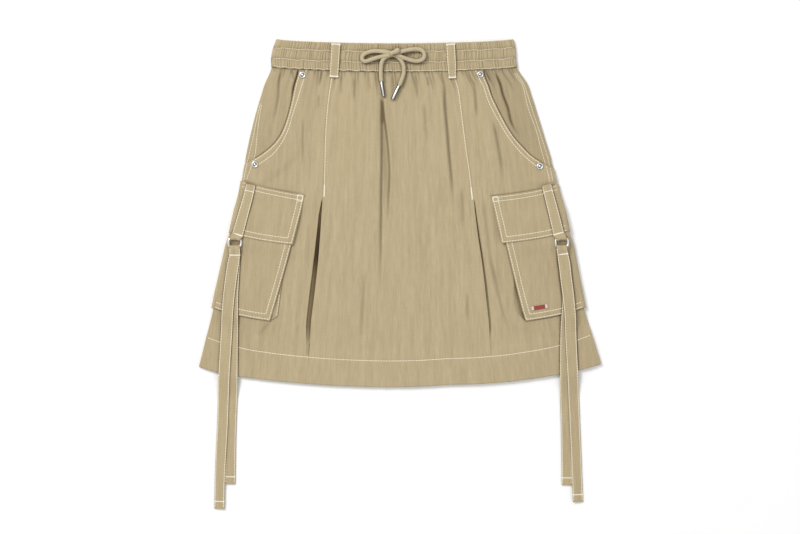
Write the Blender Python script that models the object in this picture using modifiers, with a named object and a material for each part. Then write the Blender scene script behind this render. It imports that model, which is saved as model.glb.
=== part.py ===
"""Cargo utility skirt, laid out flat on its back.

Metres. +Z is up from the surface it lies on, +Y runs to the waist and +X to the right as seen from above.
Every cloth piece is worked out in the skirt's own two coordinates: u runs from -1 at the left side edge to
+1 at the right one, and d is the depth below the waist seam.
"""

import math

import bpy
import numpy as np
from mathutils import Matrix, Vector

# Cloth
WALL = 0.0012
GAP = 0.0003
STEP = WALL + GAP
HEM_RAMP = 0.352
HEM_TOP = 0.3680
HEM_EXTRA = 0.0008
SKIRT_LENGTH = 0.4060

# The space between front and back, how it changes by place, and its limits
HOLLOW = 0.0020
EDGE_ROLL = 0.010
WAIST_RISE = 0.0005
PLEAT_TENT = 0.0005
PLEAT_TENT_WIDTH = 0.05
POCKET_PRESS = 0.0007
LEAST_HOLLOW = 0.0001
MOST_HOLLOW = 0.0036

# Waistband
BAND_RIBS = 62
BAND_INSIDE = 0.0030
BAND_OUTSIDE = 0.0061
BAND_BACK = 0.0026
RIB_HEIGHT = 0.0007
BAND_ROLL = 0.0012
BAND_ROLL_WIDTH = 0.006

# The skirt's outline, a row for each section: its depth below the waist seam, the x of its left and right
# side edges, and how far its middle hangs below its sides.
WAIST_Y = 0.2812
SECTIONS = np.array([
    # depth    left     right    sag
    (-0.0382, -0.1672, 0.1530, 0.0040),
    (-0.0274, -0.1712, 0.1556, 0.0040),
    (-0.0134, -0.1741, 0.1566, 0.0040),
    (0.0000, -0.1741, 0.1586, 0.0040),
    (0.0224, -0.1832, 0.1727, 0.0075),
    (0.0388, -0.1884, 0.1782, 0.0100),
    (0.0632, -0.1956, 0.1860, 0.0135),
    (0.0959, -0.2036, 0.1960, 0.0175),
    (0.1285, -0.2104, 0.2060, 0.0205),
    (0.1584, -0.2150, 0.2130, 0.0230),
    (0.2251, -0.2290, 0.2280, 0.0235),
    (0.3271, -0.2525, 0.2490, 0.0288),
    (0.3665, -0.2628, 0.2605, 0.0320),
    (0.4060, -0.2727, 0.2727, 0.0290),
])

# The hip-pocket mouths: u of the mouth's edge at each depth.
MOUTH = np.array([
    # depth   left    right
    (0.0000, -0.778, 0.722),
    (0.0150, -0.776, 0.706),
    (0.0299, -0.773, 0.704),
    (0.0460, -0.772, 0.716),
    (0.0630, -0.778, 0.738),
    (0.0803, -0.796, 0.773),
    (0.0926, -0.823, 0.803),
    (0.1034, -0.862, 0.834),
    (0.1123, -0.902, 0.869),
    (0.1222, -0.953, 0.921),
    (0.1310, -1.000, 0.970),
    (0.1360, -1.000, 1.000),
])
MOUTH_END = 0.1360
FACING_REACH = 0.085
FACING_DROP = 0.018
FACING_FOOT = 0.1480
FACING_STEP = STEP + 0.0004

# The two front pleats: u of the middle panel's folded edge, and how far the side panel's edge stands off it.
PLEAT = np.array([
    # depth   left    right  left gap  right gap
    (0.0000, -0.515, 0.486, 0.0000, 0.0000),
    (0.0377, -0.513, 0.482, 0.0000, 0.0000),
    (0.1358, -0.488, 0.473, 0.0000, 0.0000),
    (0.1600, -0.486, 0.472, 0.0012, 0.0010),
    (0.1817, -0.484, 0.471, 0.0036, 0.0018),
    (0.2101, -0.482, 0.473, 0.0046, 0.0022),
    (0.2435, -0.483, 0.481, 0.0062, 0.0028),
    (0.2885, -0.478, 0.489, 0.0070, 0.0034),
    (0.3258, -0.476, 0.490, 0.0058, 0.0030),
    (0.3520, -0.470, 0.481, 0.0022, 0.0014),
    (0.3665, -0.468, 0.477, 0.0000, 0.0000),
    (0.4060, -0.468, 0.474, 0.0000, 0.0000),
])
PLEAT_OPENS = 0.1600
PLEAT_SHUTS = 0.3520
UNDERLAY_WIDTH = 0.014
LEAST_STAND_OFF = 0.0012

# The largest folds of the front: a ridge is positive, a trough negative. Each runs from head to foot.
FOLDS = np.array([
    # u head  u foot  head    foot    width   height
    (-0.108, -0.106, 0.020, 0.230, 0.022, -0.0013),
    (-0.080, -0.040, 0.022, 0.150, 0.024, 0.0009),
    (-0.170, -0.165, 0.050, 0.330, 0.050, 0.0008),
    (-0.255, -0.235, 0.150, 0.390, 0.045, -0.0007),
    (-0.330, -0.330, 0.030, 0.260, 0.050, 0.0007),
    (0.060, 0.075, 0.060, 0.395, 0.055, 0.0008),
    (0.160, 0.170, 0.170, 0.395, 0.045, -0.0007),
    (0.240, 0.250, 0.030, 0.300, 0.045, 0.0006),
    (0.376, 0.345, 0.000, 0.150, 0.022, -0.0014),
    (0.330, 0.310, 0.010, 0.240, 0.030, 0.0008),
    (0.390, 0.395, 0.180, 0.395, 0.040, 0.0005),
    (0.590, 0.596, 0.020, 0.080, 0.020, -0.0007),
    (0.560, 0.545, 0.170, 0.350, 0.022, 0.0008),
    (0.650, 0.660, 0.060, 0.140, 0.025, 0.0006),
    (-0.560, -0.560, 0.160, 0.350, 0.025, 0.0007),
    (-0.650, -0.640, 0.050, 0.140, 0.030, 0.0006),
])
GATHERS = 16
GATHER_HEIGHT = 0.0006
GATHER_FADE = 0.030

# Cargo pockets
FLAP_TOP = 0.1585
POCKET_MOUTH = 0.2000
POCKET_FOOT = 0.3270
GUSSET_WIDTH = 0.018
POCKETS = {
    "left": {"sign": -1, "flap_foot": 0.2250, "flap_u": (0.604, 0.637), "pocket_u": (0.630, 0.698),
             "gusset_u": (0.629, 0.660), "tab_u": (0.945, 0.962), "ring": (-0.2241, 0.0480)},
    "right": {"sign": 1, "flap_foot": 0.2226, "flap_u": (0.585, 0.609), "pocket_u": (0.629, 0.696),
              "gusset_u": (0.628, 0.684), "tab_u": (0.938, 0.946), "ring": (0.2188, 0.0480)},
}
TURN_REACH = 0.0015
BACK_HALF_U = (0.505, 0.585)
POCKET_BACK_D = (0.178, 0.199, 0.330, 0.346)
FLAP_BACK_D = (0.136, 0.154, 0.229, 0.246)

# Hardware
TAB_WIDTH = 0.0132
RING_WIRE = 0.0020
RING_WIDTH = 0.0189
RING_HEIGHT = 0.0150
RING_CORNER = 0.0055
RING_BAR_CORNER = 0.0020
RIVET_RADIUS = 0.0050
RIVET_HEIGHT = 0.0017
STRAP_WIDTH = 0.0139
STRAP_SLOPE = 0.22
STRAP_FOLD_AHEAD = 0.0046
STRAP_LEVEL_BELOW = 0.0035
STRAP_FREE_BELOW = 0.0075
LOOP_WIDTH = 0.0130
LOOP_WALL = 0.0015
CORD_DIAMETER = 0.0054
AGLET_DIAMETER = 0.0038
LABEL_SIZE = (0.0215, 0.0060, 0.0008)
LABEL_AT = (0.774, 0.3080)

# Each rivet: its side, u and depth.
RIVETS = {
    "rivet_left_upper": (-1, -0.742, 0.0075),
    "rivet_left_lower": (-1, -0.938, 0.1280),
    "rivet_right_upper": (1, 0.668, 0.0075),
    "rivet_right_lower": (1, 0.922, 0.1295),
}

# Each belt loop: x and y of its top and of its foot.
BELT_LOOPS = {
    "belt_loop_left": ((-0.0870, 0.3140), (-0.0898, 0.2690)),
    "belt_loop_right": ((0.0687, 0.3140), (0.0716, 0.2690)),
}
# A belt loop's stations: how far down from its top, and how far it stands off the waistband or, past the
# waistband's foot, off the panel.
LOOP_STATIONS = np.array([
    # down    stand-off
    (0.0000, 0.0000),
    (0.0040, 0.0002),
    (0.0100, 0.0005),
    (0.0180, 0.0006),
    (0.0260, 0.0006),
    (0.0310, 0.0004),
    (0.0355, 0.0008),
    (0.0400, 0.0005),
    (0.0450, 0.0002),
])
LOOP_ON_BAND = 0.0320

NAME = "cargo_utility_skirt"


# Scene and materials ---------------------------------------------------------------------------------------

for old in list(bpy.data.objects):
    bpy.data.objects.remove(old, do_unlink=True)
PARTS = bpy.data.collections.new(NAME)
bpy.context.scene.collection.children.link(PARTS)


def material(name, colour, roughness, metallic=0.0):
    """A Principled material with one colour."""
    made = bpy.data.materials.new(name)
    made.use_nodes = True
    shader = made.node_tree.nodes["Principled BSDF"]
    shader.inputs["Base Color"].default_value = (*colour, 1.0)
    shader.inputs["Roughness"].default_value = roughness
    shader.inputs["Metallic"].default_value = metallic
    return made


FABRIC = material("fabric", (0.49, 0.40, 0.245), 0.9)
CORD = material("cord", (0.53, 0.44, 0.29), 0.85)
METAL = material("metal", (0.82, 0.82, 0.80), 0.25, 1.0)
LABEL = material("label", (0.36, 0.09, 0.06), 0.8)


def add_object(name, data, finish):
    """Puts a mesh or a curve in the skirt's collection with its material."""
    data.materials.append(finish)
    made = bpy.data.objects.new(name, data)
    PARTS.objects.link(made)
    return made


def take(made, name, finish):
    """Names a new primitive and moves it to the skirt's collection with its material."""
    made.name = name
    made.data.materials.append(finish)
    for holder in list(made.users_collection):
        holder.objects.unlink(made)
    PARTS.objects.link(made)
    return made


# The skirt's own coordinates -------------------------------------------------------------------------------

def smooth(start, end, value):
    """0 before start, 1 after end, and an S-shaped rise between them."""
    part = np.clip((value - start) / (end - start), 0.0, 1.0)
    return part * part * (3 - 2 * part)


def curve(table, column, at):
    """A smooth curve through one column of a table, read at values of the table's first column."""
    keys = table[:, 0]
    values = table[:, column]
    slopes = np.gradient(values, keys)
    at = np.clip(np.asarray(at, float), keys[0], keys[-1])
    i = np.clip(np.searchsorted(keys, at) - 1, 0, len(keys) - 2)
    width = keys[i + 1] - keys[i]
    t = (at - keys[i]) / width
    start = (2 * t**3 - 3 * t**2 + 1) * values[i] + (t**3 - 2 * t**2 + t) * width * slopes[i]
    end = (3 * t**2 - 2 * t**3) * values[i + 1] + (t**3 - t**2) * width * slopes[i + 1]
    return start + end


def straight(table, column, at):
    """The same, with straight lines between the rows."""
    return np.interp(at, table[:, 0], table[:, column])


def place(u, d):
    """x and y of a point of the skirt. Each section is a shallow bow whose middle hangs lowest."""
    left = curve(SECTIONS, 1, d)
    right = curve(SECTIONS, 2, d)
    bow = 0.8 * (1 - u**2) + 0.2 * (1 - np.abs(u) ** 10)
    return left + (u + 1) / 2 * (right - left), WAIST_Y - d - curve(SECTIONS, 3, d) * bow


def half_width(d):
    return (curve(SECTIONS, 2, d) - curve(SECTIONS, 1, d)) / 2


def find(x, y):
    """u and d of a point given by x and y."""
    d = WAIST_Y - y
    for _ in range(9):
        left = curve(SECTIONS, 1, d)
        u = 2 * (x - left) / (2 * half_width(d)) - 1
        d = d + 0.9 * (place(u, d)[1] - y)
    return u, d


# Heights of the layers -------------------------------------------------------------------------------------

def hem_layer(d):
    """The turned-up hem makes the cloth thicker on its inner side."""
    return HEM_EXTRA * smooth(HEM_RAMP, HEM_TOP - 0.0015, d)


def back_lift(u, d):
    """How far the cargo pockets' back halves, and their flaps', hold the back panel off the surface."""
    layers = 0
    for start, full, fades, end in (POCKET_BACK_D, FLAP_BACK_D):
        layers = layers + smooth(start, full, d) * (1 - smooth(fades, end, d))
    return STEP * layers * smooth(*BACK_HALF_U, np.abs(u))


def folds(u, d):
    """The named folds and the waist's gathers, as a height."""
    height = np.zeros(np.broadcast(u, d).shape)
    for head_u, foot_u, head, foot, width, rise in FOLDS:
        along = (d - head) / (foot - head)
        middle = head_u + (foot_u - head_u) * np.clip(along, 0, 1)
        ends = smooth(-0.12, 0.15, along) * (1 - smooth(0.75, 1.12, along))
        height = height + rise * ends * np.exp(-(((u - middle) / width) ** 2))
    phase = u * GATHERS / 0.98 + 0.30 * np.sin(11 * u) + 0.15 * np.sin(23 * u + 1)
    gather = np.cos(2 * math.pi * phase) * (0.75 + 0.25 * np.sin(17 * u + 2))
    return height + GATHER_HEIGHT * gather * np.exp(-np.maximum(d, 0) / GATHER_FADE)


def hollow(u, d):
    """The space between the front and the back: nothing at the side edges, and full a little way in."""
    from_side = (1 - np.abs(u)) * half_width(d)
    roll = 1 - np.exp(-from_side / EDGE_ROLL)
    from_pleat = np.minimum(np.abs(u - curve(PLEAT, 1, d)), np.abs(u - curve(PLEAT, 2, d)))
    by_pleat = np.exp(-((from_pleat / PLEAT_TENT_WIDTH) ** 2))
    tent = PLEAT_TENT * by_pleat * smooth(0.12, 0.20, d) * (1 - smooth(0.33, 0.36, d))
    pocket = smooth(0.56, 0.60, np.abs(u)) * smooth(0.140, 0.156, d) * (1 - smooth(0.332, 0.345, d))
    relief = folds(u, d) * (1 - pocket) * smooth(0.0, 0.02, from_side)
    seam = WAIST_RISE * (1 - smooth(0.0, 0.05, d))
    filled = HOLLOW - POCKET_PRESS * pocket - hem_layer(d)
    return np.clip((filled + tent + seam + relief) * roll, LEAST_HOLLOW, MOST_HOLLOW)


def front_floor(u, d):
    """The lowest that the front's outer face can lie on the back panel."""
    return back_lift(u, d) + 2 * (WALL + hem_layer(d)) + GAP


def front_top(u, d):
    return front_floor(u, d) + hollow(u, d)


def mouth(side, d):
    return straight(MOUTH, 1 if side < 0 else 2, d)


def facing_edge(side, d):
    """u of the hidden inner edge of the hip facing, which follows the mouth under the side panel."""
    return mouth(side, d - FACING_DROP) - side * FACING_REACH


def over_facing(side, u, d):
    """1 where the side panel lies on the hip facing, and 0 well away from it."""
    beyond = (facing_edge(side, d) - u) * side
    return (1 - smooth(0.015, 0.085, beyond)) * (1 - smooth(FACING_FOOT + 0.001, FACING_FOOT + 0.009, d))


def side_top(side, u, d):
    """The side panel's outer face: the front's, raised where the hip facing and its gathers lie under it."""
    step = FACING_STEP + GATHER_HEIGHT * np.exp(-np.maximum(d, 0) / GATHER_FADE)
    return front_top(u, d) + step * over_facing(side, u, d)


# Cloth walls -----------------------------------------------------------------------------------------------

def stack(x, y, z):
    """Points from three arrays that broadcast together."""
    x, y, z = np.broadcast_arrays(x, y, z)
    return np.stack([x, y, z], axis=-1)


def cloth_wall(name, outer, inner, finish=FABRIC):
    """A closed wall between an outer and an inner grid of points, which run the same way.

    They have as many columns as each other. Where the inner grid is plainer, with fewer rows, each end of
    the wall is closed by one face.
    """
    rows, columns = outer.shape[:2]
    upper = np.arange(rows * columns).reshape(rows, columns)
    lower = np.arange(inner.shape[0] * columns).reshape(-1, columns) + rows * columns
    faces = []
    for grid, flip in ((upper, False), (lower, True)):
        quads = np.stack([grid[:-1, :-1], grid[1:, :-1], grid[1:, 1:], grid[:-1, 1:]], axis=-1)
        quads = quads.reshape(-1, 4)
        faces += (quads[:, ::-1] if flip else quads).tolist()
    rims = [(upper[0], lower[0]), (upper[-1, ::-1], lower[-1, ::-1])]
    if len(upper) == len(lower):
        rims += [(upper[:, -1], lower[:, -1]), (upper[::-1, 0], lower[::-1, 0])]
    else:
        faces.append(np.concatenate([upper[:, -1], lower[::-1, -1]]).tolist())
        faces.append(np.concatenate([upper[::-1, 0], lower[:, 0]]).tolist())
    for above, below in rims:
        faces += np.stack([above[:-1], above[1:], below[1:], below[:-1]], axis=-1).tolist()
    points = np.concatenate([outer.reshape(-1, 3), inner.reshape(-1, 3)])
    mesh = bpy.data.meshes.new(name)
    mesh.from_pydata(points.tolist(), [], faces)
    mesh.shade_smooth()
    mesh.set_sharp_from_angle(angle=math.radians(50))
    return add_object(name, mesh, finish)


def panel(name, u, d, top, wall):
    """A cloth wall over a grid of u and d, with its outer face at top and its inner one a wall lower."""
    x, y = place(u, d)
    return cloth_wall(name, stack(x, y, top), stack(x, y, top - wall))


def strip(name, centres, across, width, wall, finish=FABRIC):
    """A flat strip of cloth along centres, with across giving its width's direction at each of them."""
    along = np.gradient(centres, axis=0)
    normal = np.cross(across, along)
    normal /= np.linalg.norm(normal, axis=1, keepdims=True)
    sides = np.array([-0.5, 0.5]) * width
    face = centres[:, None, :] + across[:, None, :] * sides[None, :, None]
    lift = normal[:, None, :] * wall / 2
    return cloth_wall(name, (face + lift)[::-1], (face - lift)[::-1], finish)


def through(points, spacing):
    """A smooth route through a few points, read off at an even spacing."""
    points = np.array(points, float)
    length = np.concatenate([[0], np.cumsum(np.linalg.norm(np.diff(points, axis=0), axis=1))])
    fine = np.linspace(0, length[-1], 400)
    table = np.column_stack([length, points])
    route = np.stack([curve(table, k, fine) for k in (1, 2, 3)], axis=1)
    run = np.concatenate([[0], np.cumsum(np.linalg.norm(np.diff(route, axis=0), axis=1))])
    count = max(3, round(run[-1] / spacing) + 1)
    at = np.linspace(0, run[-1], count)
    return np.stack([np.interp(at, run, route[:, k]) for k in range(3)], axis=1)


# Panels ----------------------------------------------------------------------------------------------------

# Depths of the rows of points that the panels share, so that what lies on a panel follows it closely.
ROWS = np.array([0.0, 0.018, 0.040, 0.063, 0.080, 0.0926, 0.1034, 0.1123, 0.1222, 0.131, 0.136, 0.145,
                 0.149, 0.154, 0.158, 0.168, 0.178, 0.188, 0.200, 0.214, 0.229, 0.2375, 0.246, 0.275,
                 0.305, 0.330, 0.338, 0.346, 0.352, 0.362, 0.3665, 0.406])
BACK_ROWS = ROWS[[0, 4, 9, 11, 13, 16, 17, 18, 20, 21, 22, 23, 24, 25, 26, 27, 28, 30, 31]][:, None]
MIDDLE_ROWS = ROWS[[0, 1, 2, 4, 8, 13, 16, 19, 22, 23, 24, 27, 30, 31]][:, None]


def rows_between(start, end):
    """The shared rows between two depths, with the two depths themselves."""
    inside = ROWS[(ROWS > start + 0.002) & (ROWS < end - 0.002)]
    return np.concatenate([[start], inside, [end]])[:, None]


def make_back_panel():
    u = np.array([-1, -0.80, -0.585, -0.545, -0.505, 0.0, 0.505, 0.545, 0.585, 0.80, 1])[None, :]
    top = back_lift(u, BACK_ROWS) + WALL + hem_layer(BACK_ROWS)
    panel("back_panel", u + 0 * BACK_ROWS, BACK_ROWS + 0 * u, top, WALL + hem_layer(BACK_ROWS))


def pleat_line(column, d):
    """u of the middle panel's edge, straight from one of that panel's rows to the next."""
    return np.interp(d, MIDDLE_ROWS[:, 0], curve(PLEAT, column, MIDDLE_ROWS[:, 0]))


def make_front_centre():
    d = np.insert(MIDDLE_ROWS, 1, 0.006, axis=0)
    left = pleat_line(1, d)
    right = pleat_line(2, d)
    u = left + (right - left) * np.linspace(0, 1, 3 * GATHERS + 1)[None, :]
    panel("front_centre", u, d + 0 * u, front_top(u, d), WALL + hem_layer(d))


SIDE_COLUMNS = np.array([0, 0.03, 0.09, 0.20, 0.36, 0.50, 0.64, 0.77, 0.89, 1])


def make_front_side(side, name):
    """A side panel, from its outer edge or mouth to the pleat, where it dips under the middle panel."""
    column = 1 if side < 0 else 2
    d = rows_between(0.0, SKIRT_LENGTH)
    width = half_width(d)
    seam = pleat_line(column, d) + side * GAP / width
    stand_off = np.maximum(straight(PLEAT, column + 2, d), LEAST_STAND_OFF) / width
    dips = smooth(PLEAT_OPENS - 0.001, PLEAT_OPENS + 0.008, d)
    dips = dips * (1 - smooth(PLEAT_SHUTS, PLEAT_SHUTS + 0.010, d))
    runs_under = smooth(0.170, 0.178, d) * (1 - smooth(0.338, 0.352, d))
    lip = seam + side * stand_off
    outer_edge = np.where(d < MOUTH_END, mouth(side, d), side)
    body = outer_edge + (lip - outer_edge) * SIDE_COLUMNS
    floor_edge = seam + side * 0.3 * stand_off
    under_edge = seam - side * runs_under * UNDERLAY_WIDTH / width
    under_middle = np.where(runs_under > 0, (seam + under_edge) / 2, seam + side * 0.15 * stand_off)
    u = np.concatenate([body, floor_edge, under_middle, under_edge], axis=1)
    drop = np.concatenate([np.zeros_like(body), dips, dips, dips], axis=1)
    top = side_top(side, u, d)
    sunk = front_floor(u, d)
    top = top + (sunk - top) * drop
    wall = WALL + hem_layer(d)
    if side > 0:
        u = u[:, ::-1]
        top = top[:, ::-1]
    panel(name, u, d + 0 * u, top, wall)


def make_hip_facing(side, name):
    d = rows_between(0.0, FACING_FOOT)
    inner = facing_edge(side, d)
    u = side + (inner - side) * np.array([0, 0.06, 0.14, 0.26, 0.5, 0.75, 1])[None, :]
    top = front_top(u, d)
    if side > 0:
        u = u[:, ::-1]
        top = top[:, ::-1]
    panel(name, u, d + 0 * u, top, WALL)


# Waistband -------------------------------------------------------------------------------------------------

# Each row of the waistband: its depth (above the seam), how far it stands below the full height, and how
# much of a gather's height shows there. The two rows of stitching hold the gathers down.
BAND_ROWS = np.array([
    # depth    sunk    gather
    (-0.0382, 0.0016, 0.3),
    (-0.0340, 0.0002, 1.0),
    (-0.0274, 0.0009, 0.4),
    (-0.0204, 0.0000, 1.0),
    (-0.0134, 0.0009, 0.4),
    (-0.0065, 0.0000, 1.0),
    (-0.0003, 0.0010, 0.7),
])


def band_top(u, d):
    """The waistband's outer face without its gathers."""
    from_side = (1 - np.abs(u)) * half_width(d)
    roll = BAND_ROLL * np.exp(-from_side / BAND_ROLL_WIDTH)
    return BAND_OUTSIDE - straight(BAND_ROWS, 1, d) - roll


def make_waistband():
    d = BAND_ROWS[:, :1]
    u = np.linspace(-1, 1, 2 * BAND_RIBS + 1)[None, :]
    u = u + 0.004 * np.sin(9 * u) * (1 - u**2)
    rib = np.where(np.arange(2 * BAND_RIBS + 1) % 2 == 0, -1.0, 1.0) * (0.8 + 0.2 * np.sin(41 * u))
    top = band_top(u, d) + RIB_HEIGHT * rib * BAND_ROWS[:, 2:]
    x, y = place(u, d + 0 * u)
    cloth_wall("waistband_front", stack(x, y, top), stack(x, y, BAND_INSIDE)[[0, -1]])
    u = np.linspace(-1, 1, 9)[None, :]
    x, y = place(u, d[[0, 3, 6]] + 0 * u)
    cloth_wall("waistband_back", stack(x, y, BAND_BACK), stack(x, y, 0.0))


# Cargo pockets ---------------------------------------------------------------------------------------------

def wrap_wall(name, side, u_in, d, front_under, back_under, reach):
    """A wall that lies on the front, turns round the side edge and comes back under the back panel.

    u_in is the distance of both its free edges from the middle, front_under and back_under give the height
    of its lower face on each leg, and reach says how far its inner face swings out past the side edge.
    """
    front_u = side * (u_in + (1 - u_in) * np.array([0, 0.2, 0.4, 0.6, 0.8, 0.93, 1.0])[None, :])
    back_u = side * (1 + (u_in - 1) * np.array([0, 0.2, 0.6, 1.0])[None, :])
    angle = np.radians([22.5, 45, 67.5, 90, 112.5, 135, 157.5])[None, :]
    high = front_under(side + 0 * d, d)
    low = back_under(side + 0 * d, d) + WALL
    edge_x, edge_y = place(side + 0 * d, d)
    grids = []
    for outside in (0.0, 1.0):
        front_x, front_y = place(front_u, d + 0 * front_u)
        front = stack(front_x, front_y, front_under(front_u, d) + outside * WALL)
        back_x, back_y = place(back_u, d + 0 * back_u)
        back = stack(back_x, back_y, back_under(back_u, d) + (1 - outside) * WALL)
        half = (high - low) / 2 + outside * WALL
        swing = reach(d) + outside * WALL
        turn = stack(edge_x + side * swing * np.sin(angle), edge_y + 0 * angle,
                     (high + low) / 2 + half * np.cos(angle))
        grids.append(np.concatenate([front, turn, back], axis=1))
    inner, outer = grids
    if side < 0:
        inner = inner[:, ::-1]
        outer = outer[:, ::-1]
    cloth_wall(name, outer, inner)


def gusset_under(u, d):
    return front_top(u, d) + GAP


def pocket_under(u, d):
    return front_top(u, d) + GAP + STEP


def pocket_back(u, d):
    """The pocket's back half lies on the surface, and on the flap's back half at its mouth."""
    return STEP * (1 - smooth(0.229, 0.246, d)) + 0 * u


def flap_under(u, d):
    """The flap starts on the skirt at its seam and comes up over the pocket's mouth."""
    return front_top(u, d) + GAP + 2 * STEP * smooth(0.160, POCKET_MOUTH - 0.001, d)


def flap_back(u, d):
    return 0 * u + 0 * d


def flap_reach(d):
    return TURN_REACH + STEP * smooth(0.168, POCKET_MOUTH - 0.001, d)


def between(pair, d, start, end):
    return pair[0] + (pair[1] - pair[0]) * (d - start) / (end - start)


def make_cargo_pocket(word, spec):
    side = spec["sign"]
    d = rows_between(POCKET_MOUTH, POCKET_FOOT)
    u_in = between(spec["pocket_u"], d, POCKET_MOUTH, POCKET_FOOT)
    wrap_wall("cargo_pocket_" + word, side, u_in, d, pocket_under, pocket_back, lambda d: TURN_REACH + 0 * d)

    d = rows_between(FLAP_TOP, spec["flap_foot"])
    u_in = between(spec["flap_u"], d, FLAP_TOP, spec["flap_foot"])
    wrap_wall("cargo_flap_" + word, side, u_in, d, flap_under, flap_back, flap_reach)

    # The gusset follows the pocket's inner side and foot, mitred at the corner.
    side_d = rows_between(POCKET_MOUTH + 0.004, POCKET_FOOT + 0.0006)[:, 0]
    foot_u = np.array([0.78, 0.86, 0.94, 0.985])
    outer_u = between(spec["gusset_u"], side_d, POCKET_MOUTH, POCKET_FOOT)
    outer_u = np.minimum(outer_u, between(spec["pocket_u"], side_d, POCKET_MOUTH, POCKET_FOOT) - 0.001)
    outer = np.concatenate([np.stack([outer_u, side_d], 1), [(u, side_d[-1]) for u in foot_u]])
    inner_u = outer_u + GUSSET_WIDTH / half_width(side_d)
    share = (side_d - side_d[0]) / (side_d[-1] - side_d[0])
    inner_d = np.minimum(side_d, POCKET_FOOT - GUSSET_WIDTH * share)
    inner = np.concatenate([np.stack([inner_u, inner_d], 1), [(u, inner_d[-1]) for u in foot_u + 0.001]])
    mix = np.array([0, 0.5, 1])[None, :, None]
    grid = outer[:, None, :] * (1 - mix) + inner[:, None, :] * mix
    u = side * grid[..., 0]
    d = grid[..., 1]
    if side > 0:
        u = u[:, ::-1]
        d = d[:, ::-1]
    u = u[:, ::-1]
    d = d[:, ::-1]
    panel("cargo_gusset_" + word, u, d, gusset_under(u, d) + WALL, WALL)


# Hardware and trims ----------------------------------------------------------------------------------------

def highest(height, x, y, reach):
    """The greatest height in a small square round each point."""
    best = np.full(np.shape(x), -1.0)
    for step_x in np.linspace(-reach, reach, 7):
        for step_y in np.linspace(-reach, reach, 7):
            u, d = find(x + step_x, y + step_y)
            best = np.maximum(best, height(u, d))
    return best


# A rivet's profile, as shares of its radius and height.
RIVET_PROFILE = [
    (0, 1), (0.22, 1), (0.30, 0.6), (0.52, 0.6), (0.68, 1), (0.86, 0.95), (1, 0.35), (1, 0), (0, 0),
]


def make_rivet(name, side, u, d):
    """A ring-faced rivet: a turned profile with a raised ring, a dished middle and a small boss."""
    x, y = place(np.array(u), np.array(d))
    z = float(highest(lambda a, b: side_top(side, a, b), x, y, RIVET_RADIUS)) + GAP
    points = [(across * RIVET_RADIUS, 0, up * RIVET_HEIGHT) for across, up in RIVET_PROFILE]
    mesh = bpy.data.meshes.new(name)
    mesh.from_pydata(points, [(i, i + 1) for i in range(len(points) - 1)], [])
    made = add_object(name, mesh, METAL)
    made.location = (float(x), float(y), z)
    turn = made.modifiers.new("turn", "SCREW")
    turn.steps = 14
    turn.render_steps = 14
    turn.use_merge_vertices = True
    turn.merge_threshold = 0.00005


def tube(name, points, diameter, finish, closed=False):
    """A round cord or wire: a poly curve with a bevel, its ends capped."""
    data = bpy.data.curves.new(name, "CURVE")
    data.dimensions = "3D"
    data.bevel_depth = diameter / 2
    data.bevel_resolution = 2
    data.use_fill_caps = not closed
    spline = data.splines.new("POLY")
    spline.points.add(len(points) - 1)
    for point, (x, y, z) in zip(spline.points, points):
        point.co = (x, y, z, 1)
    spline.use_cyclic_u = closed
    return add_object(name, data, finish)


def ring_height(spec):
    """The height of the D-ring's wire: over the strap's lower leg, which lies on the pocket."""
    x, y = spec["ring"]
    xs = x + np.array([-0.008, 0.0, 0.008])
    ys = y - np.array([-0.004, 0.004, 0.012])
    pocket = float(highest(pocket_under, *np.meshgrid(xs, ys), 0.002).max()) + WALL
    return pocket + STEP + GAP + RING_WIRE / 2


def make_d_ring(word, spec):
    x, y = spec["ring"]
    z = ring_height(spec)
    half = (RING_WIDTH - RING_WIRE) / 2
    drop = RING_HEIGHT - RING_WIRE
    points = []
    corners = [(half, 0, RING_BAR_CORNER, 0), (-half, 0, RING_BAR_CORNER, 90),
               (-half, -drop, RING_CORNER, 180), (half, -drop, RING_CORNER, 270)]
    for corner_x, corner_y, radius, start in corners:
        centre_x = corner_x - math.copysign(radius, corner_x)
        centre_y = corner_y - radius if corner_y == 0 else corner_y + radius
        for turn in np.radians(np.linspace(start, start + 90, 5)):
            across = centre_x + radius * math.cos(turn)
            up = centre_y + radius * math.sin(turn)
            points.append((x + across, y + up, z))
    tube("d_ring_" + word, points, RING_WIRE, METAL, closed=True)


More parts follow.
